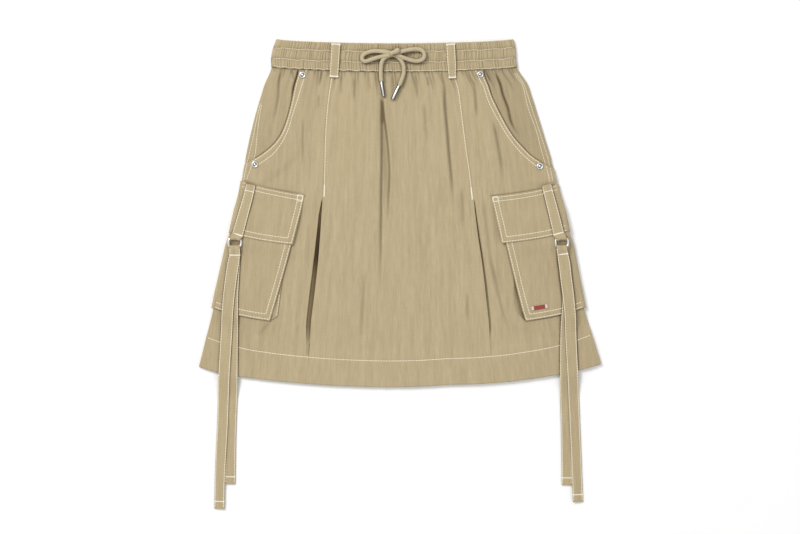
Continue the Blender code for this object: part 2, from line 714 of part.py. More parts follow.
def make_flap_tab(word, spec):
    """A strip down the flap that loops round the ring's bar and comes back under it."""
    side = spec["sign"]
    ring_x, ring_y = spec["ring"]
    bar_z = ring_height(spec)
    d = np.array([0.1590, 0.168, 0.178, 0.188, 0.200, 0.212, spec["flap_foot"] - 0.0005])
    u = side * between(spec["tab_u"], d, FLAP_TOP, spec["flap_foot"])
    x, y = place(u, d)
    flap = highest(flap_under, x, y, TAB_WIDTH / 2) + WALL
    flap_route = np.stack([x, y, flap + GAP + 0.0002 + WALL / 2], axis=1)
    radius = RING_WIRE / 2 + GAP + WALL / 2
    turn = np.radians(np.array([90, 60, 30, 0, -30, -60, -90]))
    loop_y = ring_y - radius * np.cos(turn)
    loop = np.stack([ring_x + 0 * turn, loop_y, bar_z + radius * np.sin(turn)], axis=1)
    tail = np.array([(ring_x, ring_y + 0.0025, bar_z - radius)])
    lead = np.array([(ring_x + (x[-1] - ring_x) * 0.35, ring_y + 0.0028, bar_z + radius)])
    route = np.concatenate([flap_route, lead, loop, tail])
    lean = np.concatenate([x[:-1] - x[1:], [x[-2] - x[-1], 0.0], 0 * turn, [0.0]])
    rise = np.concatenate([y[:-1] - y[1:], [y[-2] - y[-1], 1.0], 0 * turn + 1, [1.0]])
    across = np.stack([rise, -lean, 0 * lean], axis=1)
    across /= np.linalg.norm(across, axis=1, keepdims=True)
    strip("flap_tab_" + word, route, across, TAB_WIDTH, WALL)


# The straps' two tails, each by the places its middle passes from the D-ring down to its end.
STRAPS = {
    "left": {"over": [(-0.2241, 0.0262), (-0.2268, 0.0120), (-0.2315, -0.0214), (-0.2366, -0.0962),
                      (-0.2391, -0.1400), (-0.2466, -0.3194)],
             "under": [(-0.2241, 0.0262), (-0.2246, 0.0050), (-0.2252, -0.0214), (-0.2274, -0.1002),
                       (-0.2290, -0.1700), (-0.2319, -0.2859)]},
    "right": {"over": [(0.2188, 0.0276), (0.2222, 0.0130), (0.2271, -0.0214), (0.2326, -0.0962),
                       (0.2350, -0.1400), (0.2424, -0.3102)],
              "under": [(0.2188, 0.0276), (0.2196, 0.0050), (0.2217, -0.0350), (0.2251, -0.1030),
                        (0.2262, -0.1700), (0.2274, -0.2874)]},
}


def resting_height(x, y):
    """The top of the skirt and its pockets under a point, or the surface beyond the hem."""
    u, d = find(x, y)
    on_skirt = (d < SKIRT_LENGTH + 0.001) & (np.abs(u) < 1.0)
    on_pocket = (d < POCKET_FOOT + 0.001) & (d > POCKET_MOUTH)
    height = np.where(on_pocket, pocket_under(u, d) + WALL, front_top(u, d))
    return np.where(on_skirt, height, -GAP)


def lie_on(route, heights):
    """Heights of a strip that bridges steps: clear of all it lies on, and no steeper than a strap bends."""
    run = np.concatenate([[0], np.cumsum(np.linalg.norm(np.diff(route, axis=0), axis=1))])
    return np.max(heights[None, :] - STRAP_SLOPE * np.abs(run[:, None] - run[None, :]), axis=1)


def strap_route(places):
    flat = [(x, y, 0.0) for x, y in places]
    route = through(flat, 0.0025)
    x, y = route[:, 0], route[:, 1]
    best = np.full(len(x), -1.0)
    for offset in np.linspace(-STRAP_WIDTH / 2 - 0.0005, STRAP_WIDTH / 2 + 0.0005, 5):
        for ahead in (-0.003, 0.0, 0.003):
            best = np.maximum(best, resting_height(x + offset, y + ahead))
    height = lie_on(route[:, :2], best) + GAP
    bend = np.abs(np.gradient(np.gradient(height)))
    keep = (np.arange(len(x)) % 6 == 0) | (bend > 0.00008)
    keep[-1] = True
    return np.stack([x, y, height], axis=1)[keep]


def make_strap(word, spec):
    """One strip: from the end of its upper tail over the ring's wire to the end of its lower tail."""
    ring_x, ring_y = spec["ring"]
    ring_z = ring_height(spec)
    wire_y = ring_y - (RING_HEIGHT - RING_WIRE)
    under = strap_route(STRAPS[word]["under"])
    over = strap_route(STRAPS[word]["over"])
    fan = np.interp(over[:, 1][::-1], under[:, 1][::-1], under[:, 0][::-1])[::-1]
    apart = np.abs(over[:, 0] - fan)
    settled = smooth(0.004, STRAP_WIDTH - 0.002, apart)
    under_height = np.interp(over[:, 1][::-1], under[:, 1][::-1], under[:, 2][::-1])[::-1]
    inner_side = np.maximum(under_height, over[:, 2]) + STEP + 0.0002
    outer_side = inner_side * (1 - settled) + over[:, 2] * settled
    outer_side = np.maximum(outer_side, over[:, 2])
    over_tilt = -spec["sign"] * (inner_side - outer_side) / STRAP_WIDTH
    over[:, 2] = (inner_side + outer_side) / 2 + WALL / 2
    under[:, 2] += WALL / 2
    fold_y = wire_y + STRAP_FOLD_AHEAD
    radius = RING_WIRE / 2 + GAP + WALL / 2
    turn = np.radians(np.array([80, 50, 20, -10, -40, -70, -88]))
    turned_y = fold_y - radius + radius * np.cos(turn)
    fold = np.stack([ring_x + 0 * turn, turned_y, ring_z + radius * np.sin(turn)], axis=1)
    near_over = np.array([(ring_x, wire_y - STRAP_LEVEL_BELOW, ring_z + radius)])
    near_under = np.array([(ring_x, wire_y - STRAP_LEVEL_BELOW, ring_z - radius)])
    over = over[over[:, 1] < wire_y - STRAP_FREE_BELOW]
    over_tilt = over_tilt[-len(over):]
    under = under[under[:, 1] < wire_y - STRAP_FREE_BELOW]
    route = np.concatenate([over[::-1], near_over, fold, near_under, under])
    slope = np.concatenate([over_tilt[::-1], np.zeros(2 + len(turn) + len(under))])
    along = np.gradient(route[:, :2], axis=0)
    along[len(over):len(over) + len(turn) + 2] = (0, 1)
    along[len(over) + len(turn) + 2:] *= -1
    across = np.stack([along[:, 1], -along[:, 0], slope * np.abs(along[:, 1])], axis=1)
    across /= np.linalg.norm(across, axis=1, keepdims=True)
    strip("strap_" + word, route, across, STRAP_WIDTH, WALL)


def make_belt_loop(name, top, foot):
    """A strip from the waistband's top edge down over it, its foot tacked to the panel below the seam."""
    y = top[1] - LOOP_STATIONS[:, 0]
    x = np.interp(y, [foot[1], top[1]], [foot[0], top[0]])
    on_band = BAND_OUTSIDE + RIB_HEIGHT + GAP
    tack = np.array([foot[0]]), np.array([foot[1] + 0.003])
    on_panel = float(highest(front_top, *tack, LOOP_WIDTH / 2)[0]) + GAP
    low = np.where(LOOP_STATIONS[:, 0] < LOOP_ON_BAND, on_band, on_panel) + LOOP_STATIONS[:, 1]
    centres = np.stack([x, y, low + LOOP_WALL / 2], axis=1)
    lean = (top[0] - foot[0]) / (top[1] - foot[1])
    across = np.tile(np.array([1, -lean, 0]) / math.hypot(1, lean), (len(y), 1))
    strip(name, centres[::-1], across, LOOP_WIDTH, LOOP_WALL)


def make_label():
    """A small woven tab near the right pocket's foot."""
    u, d = LABEL_AT
    x, y = place(np.array(u), np.array(d))
    ends = place(np.array([u - 0.04, u + 0.04]), np.array([d, d]))
    tilt = math.atan2(ends[1][1] - ends[1][0], ends[0][1] - ends[0][0])
    z = float(highest(pocket_under, x, y, 0.006)) + WALL + GAP
    bpy.ops.mesh.primitive_cube_add(size=1)
    made = take(bpy.context.object, "woven_label", LABEL)
    made.data.transform(Matrix.Diagonal((*LABEL_SIZE, 1)))
    made.rotation_euler = (0, 0, tilt)
    made.location = (float(x), float(y), z + 0.0001 + LABEL_SIZE[2] / 2)


# Drawstring ------------------------------------------------------------------------------------------------

KNOT = (-0.0095, 0.3000)
KNOT_SIZE = (0.0116, 0.0118, 0.0104)
BAND_FACE = BAND_OUTSIDE + RIB_HEIGHT + GAP
CORD_LOW = BAND_FACE + CORD_DIAMETER / 2 + 0.0002
CORD_HIGH = CORD_LOW + CORD_DIAMETER + 0.0004
PANEL_CORD = 0.0092

DRAWSTRING = {
    "left": {
        "lead": [(-0.0232, 0.3030, CORD_LOW - 0.0001), (-0.0195, 0.3024, CORD_LOW),
                 (-0.0158, 0.3012, CORD_LOW)],
        "loop": [(-0.0158, 0.3026, CORD_HIGH), (-0.0205, 0.3046, CORD_HIGH),
                 (-0.0280, 0.3056, CORD_LOW + 0.004), (-0.0370, 0.3054, CORD_LOW + 0.001),
                 (-0.0450, 0.3030, CORD_LOW), (-0.0512, 0.2988, CORD_LOW), (-0.0522, 0.2950, CORD_LOW),
                 (-0.0490, 0.2912, CORD_LOW), (-0.0440, 0.2896, CORD_LOW + 0.0005),
                 (-0.0370, 0.2905, CORD_LOW + 0.002), (-0.0290, 0.2934, CORD_LOW + 0.004),
                 (-0.0220, 0.2958, CORD_HIGH), (-0.0160, 0.2966, CORD_HIGH)],
        "tail": [(-0.0140, 0.2942, CORD_LOW), (-0.0175, 0.2915, CORD_LOW), (-0.0222, 0.2880, CORD_LOW),
                 (-0.0252, 0.2835, CORD_LOW), (-0.0262, 0.2780, CORD_LOW - 0.0003),
                 (-0.0262, 0.2710, PANEL_CORD), (-0.0261, 0.2660, PANEL_CORD)],
        "aglet": [(-0.0260, 0.2652, PANEL_CORD), (-0.0220, 0.2424, 0.0082)],
    },
    "right": {
        "lead": [(0.0042, 0.3030, CORD_LOW - 0.0001), (0.0005, 0.3024, CORD_LOW),
                 (-0.0032, 0.3012, CORD_LOW)],
        "loop": [(-0.0032, 0.3024, CORD_HIGH), (0.0015, 0.3043, CORD_HIGH),
                 (0.0090, 0.3065, CORD_LOW + 0.004), (0.0180, 0.3082, CORD_LOW + 0.001),
                 (0.0262, 0.3078, CORD_LOW), (0.0322, 0.3040, CORD_LOW), (0.0340, 0.2990, CORD_LOW),
                 (0.0315, 0.2942, CORD_LOW), (0.0250, 0.2918, CORD_LOW + 0.0005),
                 (0.0170, 0.2918, CORD_LOW + 0.002), (0.0090, 0.2934, CORD_LOW + 0.004),
                 (0.0020, 0.2956, CORD_HIGH), (-0.0034, 0.2966, CORD_HIGH)],
        "tail": [(-0.0050, 0.2942, CORD_LOW), (-0.0015, 0.2918, CORD_LOW), (0.0025, 0.2882, CORD_LOW),
                 (0.0050, 0.2835, CORD_LOW), (0.0058, 0.2780, CORD_LOW - 0.0003),
                 (0.0045, 0.2710, PANEL_CORD), (0.0020, 0.2645, PANEL_CORD),
                 (-0.0003, 0.2592, PANEL_CORD)],
        "aglet": [(-0.0007, 0.2584, PANEL_CORD), (-0.0109, 0.2378, 0.0084)],
    },
}


def make_drawstring():
    for word, pieces in DRAWSTRING.items():
        for piece in ("lead", "loop", "tail"):
            tube(f"drawstring_{piece}_{word}", through(pieces[piece], CORD_DIAMETER), CORD_DIAMETER, CORD)
        start = Vector(pieces["aglet"][0])
        end = Vector(pieces["aglet"][1])
        bpy.ops.mesh.primitive_cone_add(vertices=12, radius1=AGLET_DIAMETER / 2 * 0.9,
                                        radius2=AGLET_DIAMETER / 2, depth=(end - start).length)
        made = take(bpy.context.object, "aglet_" + word, METAL)
        made.location = (start + end) / 2
        made.rotation_euler = (start - end).to_track_quat("Z", "Y").to_euler()
    bpy.ops.mesh.primitive_uv_sphere_add(segments=14, ring_count=8, radius=0.5)
    knot = take(bpy.context.object, "drawstring_knot", CORD)
    knot.data.transform(Matrix.Diagonal((*KNOT_SIZE, 1)))
    knot.location = (KNOT[0], KNOT[1], BAND_FACE + KNOT_SIZE[2] / 2)


# Build -----------------------------------------------------------------------------------------------------

make_back_panel()
make_front_centre()
for word, spec in POCKETS.items():
    make_front_side(spec["sign"], "front_side_" + word)
    make_hip_facing(spec["sign"], "hip_facing_" + word)
make_waistband()
for word, spec in POCKETS.items():
    make_cargo_pocket(word, spec)
    make_d_ring(word, spec)
    make_flap_tab(word, spec)
    make_strap(word, spec)
for name, (side, u, d) in RIVETS.items():
    make_rivet(name, side, u, d)
for name, (top, foot) in BELT_LOOPS.items():
    make_belt_loop(name, top, foot)
make_label()
make_drawstring()
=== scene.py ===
# %% [markdown]
# # Dressing a cargo skirt that lies flat on a table
#
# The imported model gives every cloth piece, cord and metal fitting of the skirt as a plain solid. This lesson
# turns them into something that looks sewn: finer cloth shells with creases and gathers, rows of real
# stitches, a tied drawstring, polished metal, and materials with weave and crinkle. The solids stay the
# frame: each new piece stands for one of them and lies where it lies.

# %% Load the frame
import math

import bpy
import numpy as np
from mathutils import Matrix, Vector


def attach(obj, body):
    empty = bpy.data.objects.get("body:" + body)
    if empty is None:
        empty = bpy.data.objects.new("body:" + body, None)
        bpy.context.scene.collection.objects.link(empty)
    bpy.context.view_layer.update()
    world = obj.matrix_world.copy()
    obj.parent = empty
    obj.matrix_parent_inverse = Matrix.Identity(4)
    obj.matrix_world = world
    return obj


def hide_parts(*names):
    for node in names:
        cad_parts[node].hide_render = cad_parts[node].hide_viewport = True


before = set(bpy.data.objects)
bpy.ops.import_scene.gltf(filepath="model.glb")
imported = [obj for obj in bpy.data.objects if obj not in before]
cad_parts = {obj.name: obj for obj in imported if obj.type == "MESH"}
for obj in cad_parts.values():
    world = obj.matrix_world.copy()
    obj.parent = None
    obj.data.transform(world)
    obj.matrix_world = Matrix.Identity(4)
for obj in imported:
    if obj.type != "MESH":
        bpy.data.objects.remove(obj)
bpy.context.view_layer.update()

# %% [markdown]
# ## Camera, light and floor
#
# The skirt is laid out flat and seen from straight above. A long lens
# from 2.6 m keeps the edges square. One large soft light stands at the upper left, so folds have a bright and
# a dark side and everything throws a short shadow to the lower right. An even white surrounding fills the
# shadows and gives the metal something bright to reflect.

# %% Camera
FRAME_PIXELS = (800, 534)
FRAME_WIDTH = 1.088
LENS = 85.0
SENSOR = 36.0
CLOTH_HEIGHT = 0.005
FRAME_CENTRE = (0.0, 0.0099)

camera_data = bpy.data.cameras.new("camera")
camera_data.lens = LENS
camera_data.sensor_width = SENSOR
camera = bpy.data.objects.new("camera", camera_data)
camera.location = (*FRAME_CENTRE, CLOTH_HEIGHT + FRAME_WIDTH * LENS / SENSOR)
bpy.context.scene.collection.objects.link(camera)
bpy.context.scene.camera = camera
print("camera height", round(camera.location.z, 3), "m, one pixel is", FRAME_WIDTH / FRAME_PIXELS[0], "m")

# %% Lights, surroundings and floor
KEY_FROM = Vector((-1.75, 1.75, 2.75))
KEY_SIZE = 1.2
KEY_POWER = 76.0
FILL_FROM = Vector((1.6, -1.2, 2.2))
FILL_SIZE = 2.0
FILL_POWER = 8.0
SKY = (1.0, 1.0, 1.0)
SKY_STRENGTH = 0.67
FLOOR_SIZE = 6.0
FLOOR_DROP = 0.0010


def soft_light(name, start, size, power):
    """A square area light that faces the middle of the skirt."""
    data = bpy.data.lights.new(name, "AREA")
    data.size = size
    data.energy = power
    light = bpy.data.objects.new(name, data)
    light.location = start
    light.rotation_euler = (-start).to_track_quat("-Z", "Y").to_euler()
    bpy.context.scene.collection.objects.link(light)


soft_light("key", KEY_FROM, KEY_SIZE, KEY_POWER)
soft_light("fill", FILL_FROM, FILL_SIZE, FILL_POWER)

world = bpy.data.worlds.new("studio")
world.use_nodes = True
world.node_tree.nodes["Background"].inputs["Color"].default_value = (*SKY, 1.0)
world.node_tree.nodes["Background"].inputs["Strength"].default_value = SKY_STRENGTH
bpy.context.scene.world = world
bpy.context.scene.view_settings.view_transform = "Standard"

half = FLOOR_SIZE / 2
floor_mesh = bpy.data.meshes.new("floor")
floor_mesh.from_pydata([(-half, -half, -FLOOR_DROP), (half, -half, -FLOOR_DROP), (half, half, -FLOOR_DROP),
                        (-half, half, -FLOOR_DROP)], [], [(0, 1, 2, 3)])
floor = bpy.data.objects.new("floor", floor_mesh)
bpy.context.scene.collection.objects.link(floor)

# %% [markdown]
# ## Materials
#
# The cloth is a light nylon and cotton weave. Close up it has threads, a little further off slubs and a fine
# crinkle that runs down the cloth, and across the whole skirt slightly warmer and greyer patches. Each of
# these is a noise or wave pattern stretched along the cloth's own grain, which every cloth piece carries as a
# UV map in metres: across the grain first, along it second. A point attribute called shade holds painted
# shade: it darkens cloth deep inside a pleat, in creases and gathers, along the hip-pocket mouths and beside
# the parts that lie on the cloth.

# %% Helpers for material nodes
GRAIN = "grain"
WAVE_CYCLE = 2 * math.pi / 20


def node(tree, kind, inputs=None, **settings):
    """A new node with its settings. Each input is a value, or an output to link from."""
    made = tree.nodes.new(kind)
    for key, value in settings.items():
        setattr(made, key, value)
    for key, value in (inputs or {}).items():
        if isinstance(value, bpy.types.NodeSocket):
            tree.links.new(value, made.inputs[key])
        else:
            made.inputs[key].default_value = value
    return made


def maths(tree, operation, *inputs):
    """One arithmetic node."""
    return node(tree, "ShaderNodeMath", dict(enumerate(inputs)), operation=operation).outputs[0]


def weighted(tree, *parts):
    """The sum of some outputs, each times its weight."""
    total = 0.0
    for output, weight in parts:
        total = maths(tree, "MULTIPLY_ADD", output, weight, total)
    return total


def mix(tree, share, first, second, blend="MIX"):
    """Two colours mixed by a share. Each is three numbers, or an output."""
    first, second = ((*colour, 1) if isinstance(colour, tuple) else colour for colour in (first, second))
    inputs = {"Fac": share, "Color1": first, "Color2": second}
    return node(tree, "ShaderNodeMixRGB", inputs, blend_type=blend).outputs[0]


def remap(tree, value, low, high, to_low=0.0, to_high=1.0):
    """A value carried evenly from one range to another."""
    inputs = {"Value": value, "From Min": low, "From Max": high, "To Min": to_low, "To Max": to_high}
    return node(tree, "ShaderNodeMapRange", inputs).outputs[0]


def noise(tree, at, scale, detail=2.0, roughness=0.5):
    """Soft noise of some scale at a place, from 0 to 1."""
    inputs = {"Vector": at, "Scale": scale, "Detail": detail, "Roughness": roughness}
    return node(tree, "ShaderNodeTexNoise", inputs).outputs["Fac"]


def noise_along(tree, grain, across, along, detail=2.0):
    """Noise whose cells are 1/across wide and 1/along long, in metres."""
    stretched = node(tree, "ShaderNodeMapping", {"Vector": grain, "Scale": (across, along, 1.0)})
    return noise(tree, stretched.outputs[0], 1.0, detail, 0.55)


def bands(tree, at, pitch, axis="X"):
    """Soft bands across an axis, one pitch apart."""
    inputs = {"Vector": at, "Scale": WAVE_CYCLE / pitch}
    return node(tree, "ShaderNodeTexWave", inputs, bands_direction=axis).outputs["Fac"]


def grain_map(tree):
    """The grain's coordinates: metres across and along the cloth."""
    return node(tree, "ShaderNodeUVMap", uv_map=GRAIN).outputs[0]


def own_place(tree):
    """A point's place in its own piece's coordinates."""
    return node(tree, "ShaderNodeTexCoord").outputs["Object"]


def new_material(name, sockets):
    """A material, its nodes and its shader, with values set on the shader's own sockets."""
    made = bpy.data.materials.new(name)
    made.use_nodes = True
    shader = made.node_tree.nodes["Principled BSDF"]
    for socket, value in sockets.items():
        shader.inputs[socket].default_value = value
    return made, made.node_tree, shader


def link_up(tree, shader, colour, height=None, strength=1.0):
    """The shader's colour, and its bump from a height in metres."""
    tree.links.new(colour, shader.inputs["Base Color"])
    if height is not None:
        bump = node(tree, "ShaderNodeBump", {"Height": height, "Distance": 1.0, "Strength": strength})
        tree.links.new(bump.outputs[0], shader.inputs["Normal"])


# %% Cloth material
THREAD_PITCH = 0.00055
CLOTH_DARK = (.372, .298, .173)
CLOTH_LIGHT = (.530, .432, .264)
CLOTH_WARM = (.478, .371, .221)
DEEP_TINT = (1.16, 0.88, 0.44)
FULL_LIGHT = 0.60
NO_TINT = (1.0, 1.0, 1.0)


def shaded(tree, tone):
    """A tone times the piece's own shade. Deep shade is also warmer, because light in a fold has been thrown
    back by the cloth on both sides."""
    shade = node(tree, "ShaderNodeAttribute", attribute_name="shade")
    dark = mix(tree, 1.0, tone, shade.outputs["Color"], "MULTIPLY")
    tint = mix(tree, remap(tree, shade.outputs["Fac"], 0.0, FULL_LIGHT), DEEP_TINT, NO_TINT)
    return mix(tree, 1.0, dark, tint, "MULTIPLY")


def make_cloth(name):
    """Khaki plain weave: streaks, slubs and threads in its colour and its bump."""
    made, tree, shader = new_material(name, {"Roughness": 0.86, "Sheen Weight": 0.12, "Sheen Roughness": 0.5,
                                             "Specular IOR Level": 0.30})
    grain = grain_map(tree)
    crinkle = noise_along(tree, grain, 190.0, 16.0, 4.0)
    slub = noise_along(tree, grain, 900.0, 55.0)
    weft = noise_along(tree, grain, 60.0, 1100.0)
    patches = noise_along(tree, grain, 13.0, 7.0)
    threads = maths(tree, "MULTIPLY", *(bands(tree, grain, THREAD_PITCH, axis) for axis in "XY"))
    streaks = weighted(tree, (crinkle, 0.45), (slub, 0.40), (weft, 0.15))
    tone = mix(tree, remap(tree, streaks, 0.30, 0.70), CLOTH_DARK, CLOTH_LIGHT)
    warm = mix(tree, remap(tree, patches, 0.40, 0.75, to_high=0.35), tone, CLOTH_WARM)
    height = weighted(tree, (crinkle, 0.00140), (slub, 0.00024), (threads, 0.00007))
    # The tone times the piece's painted shade, which is also warmer where it is deep.
    link_up(tree, shader, shaded(tree, warm), height, 0.8)
    return made


CLOTH = make_cloth("khaki_cloth")
print("cloth nodes:", len(CLOTH.node_tree.nodes))

# %% Cord, thread, metal, label and floor materials
CORD_DIAMETER = 0.0058
STRAND_PITCH = 0.0013
STRAND_LEAN = math.radians(32)
CORD_DARK = (.42, .342, .21)
CORD_LIGHT = (.69, .59, .40)
LABEL_RIB = 0.0005
LABEL_RED_HALF = 0.0078


def make_cord_finish():
    """Tubular braid: two sets of strands that cross on the slant, as ridges and as darker gaps."""
    made, tree, shader = new_material("braided_cord", {"Roughness": 0.8})
    grain = grain_map(tree)
    strands = []
    for lean in (STRAND_LEAN, -STRAND_LEAN):
        slanted = node(tree, "ShaderNodeMapping", {"Vector": grain, "Rotation": (0, 0, lean)})
        strands.append(bands(tree, slanted.outputs[0], STRAND_PITCH))
    braid = maths(tree, "MAXIMUM", *strands)
    fuzz = noise_along(tree, grain, 900.0, 900.0, 3.0)
    tone = mix(tree, maths(tree, "MULTIPLY", braid, fuzz), CORD_DARK, CORD_LIGHT)
    # The tone times the cord's painted shade: darker flanks, and painted shade beside the knot.
    link_up(tree, shader, shaded(tree, tone), weighted(tree, (braid, 0.00022)))
    return made


def make_thread(name, dull, bright):
    """Thick sewing thread with a little sheen and a slight change of tone along a row."""
    made, tree, shader = new_material(name, {"Roughness": 0.55, "Sheen Weight": 0.2})
    tone = mix(tree, noise(tree, own_place(tree), 220.0), dull, bright)
    link_up(tree, shader, tone, weighted(tree, (noise(tree, own_place(tree), 2600.0), 0.00008)))
    return made


def make_metal():
    """Satin nickel plate with fine wear: faint spots that are rougher and duller. The shade attribute adds
    painted shade in the recesses and a painted dark reflection on the flanks.
    """
    made, tree, shader = new_material("satin_nickel", {"Metallic": 1.0})
    wear = noise(tree, own_place(tree), 900.0, 4.0)
    tree.links.new(remap(tree, wear, 0.0, 1.0, 0.22, 0.42), shader.inputs["Roughness"])
    # Painted shade and painted dark reflection, from the shade attribute, times the metal's tone.
    shade = node(tree, "ShaderNodeAttribute", attribute_name="shade")
    tone = mix(tree, wear, (0.97, 0.96, 0.94), (0.82, 0.82, 0.82))
    link_up(tree, shader, mix(tree, 1.0, tone, shade.outputs["Color"], "MULTIPLY"))
    return made


def make_label_finish():
    """A plain woven tab: brick red with a cream edge at each end, in fine ribs."""
    made, tree, shader = new_material("woven_tab", {"Roughness": 0.75})
    grain = grain_map(tree)
    along = node(tree, "ShaderNodeSeparateXYZ", {"Vector": grain}).outputs["X"]
    edge = maths(tree, "GREATER_THAN", maths(tree, "ABSOLUTE", along), LABEL_RED_HALF)
    ribs = bands(tree, grain, LABEL_RIB)
    tone = mix(tree, edge, (0.34, 0.045, 0.04), (0.75, 0.70, 0.60))
    tone = mix(tree, weighted(tree, (ribs, 0.25)), tone, (0.16, 0.05, 0.04))
    link_up(tree, shader, tone, weighted(tree, (ribs, 0.00008)))
    return made


def make_floor_finish():
    """Smooth white card with a barely visible change of tone."""
    made, tree, shader = new_material("white_card", {"Roughness": 0.9})
    tone = mix(tree, noise(tree, own_place(tree), 30.0), (0.94, 0.94, 0.94), (0.96, 0.96, 0.96))
    link_up(tree, shader, tone)
    return made


CORD = make_cord_finish()
THREAD = make_thread("cream_thread", (0.72, 0.64, 0.46), (0.95, 0.88, 0.69))
TACK_THREAD = make_thread("bar_tack_thread", (0.86, 0.80, 0.64), (0.98, 0.95, 0.84))
METAL = make_metal()
LABEL = make_label_finish()
floor_mesh.materials.append(make_floor_finish())
print("materials:", len(bpy.data.materials))

# %% [markdown]
# ## Meshes from arrays of points
#
# Every new piece is a grid of points worked out as whole arrays. Two helpers turn grids into meshes. A shell
# is a wall of cloth between an outer and an inner grid, with a rounded rim. A tube is a profile carried along
# a path. Both put the cloth's grain in a UV map.

# %% Mesh helpers
def add_mesh(name, points, faces, grain, finish, shade=None, sharp=62.0):
    """An object from points, faces, each point's place in the cloth's grain, and its shade."""
    mesh = bpy.data.meshes.new(name)
    mesh.from_pydata(points.tolist(), [], faces)
    mesh.materials.append(finish)
    corners = np.empty(len(mesh.loops), np.int32)
    mesh.loops.foreach_get("vertex_index", corners)
    layer = mesh.uv_layers.new(name=GRAIN)
    layer.data.foreach_set("uv", grain[corners].astype(np.float32).ravel())
    if shade is None:
        shade = np.ones(len(points))
    layer = mesh.attributes.new("shade", "FLOAT", "POINT")
    layer.data.foreach_set("value", shade.astype(np.float32))
    mesh.shade_smooth()
    mesh.set_sharp_from_angle(angle=math.radians(sharp))
    made = bpy.data.objects.new(name, mesh)
    bpy.context.scene.collection.objects.link(made)
    return made


def report(*pieces):
    """Print what a cell has made."""
    print(*(f"{piece.name}: {len(piece.data.polygons)} faces" for piece in pieces), sep="\n")


def unit(vectors):
    """Each vector divided by its length."""
    return vectors / np.maximum(np.linalg.norm(vectors, axis=-1, keepdims=True), 1e-12)


def quads_of(grid):
    """The faces between neighbouring points of a grid of point numbers."""
    return np.stack([grid[:-1, :-1], grid[1:, :-1], grid[1:, 1:], grid[:-1, 1:]], axis=-1).reshape(-1, 4)


def around(grid):
    """The border of a grid as one loop: first row, last column, last row and first column."""
    return np.concatenate([grid[0, :-1], grid[:-1, -1], grid[-1, :0:-1], grid[:0:-1, 0]])


def stack(*parts):
    """Points, or pairs, from arrays that broadcast together."""
    return np.stack(np.broadcast_arrays(*parts), axis=-1)


RIM_BULGE = 0.30


def shell(name, outer, inner, grain, finish=None, shade=None):
    """A closed wall of cloth between two grids of the same size, with its rim rounded outwards.

    The rim's middle line lies halfway between the two borders, pushed out from the cloth by a share of the
    wall's thickness.
    """
    rows, columns = outer.shape[:2]
    count = rows * columns
    upper = np.arange(count).reshape(rows, columns)
    lower = upper + count
    inward = np.zeros((rows, columns, 3))
    inward[0] += outer[1] - outer[0]
    inward[-1] += outer[-2] - outer[-1]
    inward[:, 0] += unit(outer[:, 1] - outer[:, 0])
    inward[:, -1] += unit(outer[:, -2] - outer[:, -1])
    inward[0, 1:-1] = outer[1, 1:-1] - outer[0, 1:-1]
    inward[-1, 1:-1] = outer[-2, 1:-1] - outer[-1, 1:-1]
    border = around(upper)
    top = outer.reshape(-1, 3)[border]
    bottom = inner.reshape(-1, 3)[border]
    thick = np.linalg.norm(top - bottom, axis=1, keepdims=True)
    out = -unit(inward.reshape(-1, 3)[border])
    middle = (top + bottom) / 2 + out * thick * RIM_BULGE
    rim = np.arange(len(border)) + 2 * count
    faces = quads_of(upper).tolist() + quads_of(lower)[:, ::-1].tolist()
    for above, below in ((border, rim), (rim, border + count)):
        faces += np.stack([above, np.roll(above, -1), np.roll(below, -1), below], axis=-1).tolist()
    points = np.concatenate([outer.reshape(-1, 3), inner.reshape(-1, 3), middle])
    flat_grain = grain.reshape(-1, 2)
    grains = np.concatenate([flat_grain, flat_grain, flat_grain[border]])
    if shade is not None:
        flat_shade = np.broadcast_to(shade, (rows, columns)).reshape(-1)
        shade = np.concatenate([flat_shade, flat_shade, flat_shade[border]])
    return add_mesh(name, points, faces, grains, finish or CLOTH, shade)


def frames_along(path):
    """Direction, side and up vectors at each point of a path. Up is turned as little as possible from point
    to point."""
    ahead = unit(np.gradient(path, axis=0))
    ups = np.empty_like(path)
    current = np.array([0.0, 0.0, 1.0])
    for i, direction in enumerate(ahead):
        current = unit(current - direction * (current @ direction))
        ups[i] = current
    return ahead, np.cross(ahead, ups), ups


def circles(side, up, count):
    """A unit circle round each point of a path, side cos a + up sin a, and the angles a."""
    angle = np.linspace(0, 2 * math.pi, count, endpoint=False)
    return side[:, None] * np.cos(angle)[:, None] + up[:, None] * np.sin(angle)[:, None], angle


def ring_numbers(count, size):
    """The numbers of the points of some rings, each with its first point again at its end."""
    index = np.arange(count * size).reshape(count, size)
    return np.concatenate([index, index[:, :1]], axis=1)


def capped(index):
    """The faces between rings of points, with a flat cap at both ends."""
    return quads_of(index)[:, ::-1].tolist() + [index[0, :-1].tolist(), index[-1, -2::-1].tolist()]


# Painted shade at the flanks of round tubes, the cords and D-ring wires: the light left where they face
# sideways.
ROUND_FLANK = 0.50


def round_shade(ring):
    """The less a round surface looks up, the less light is left on it."""
    return ROUND_FLANK + (1 - ROUND_FLANK) * smooth(-0.35, 0.55, ring[..., 2]).ravel()


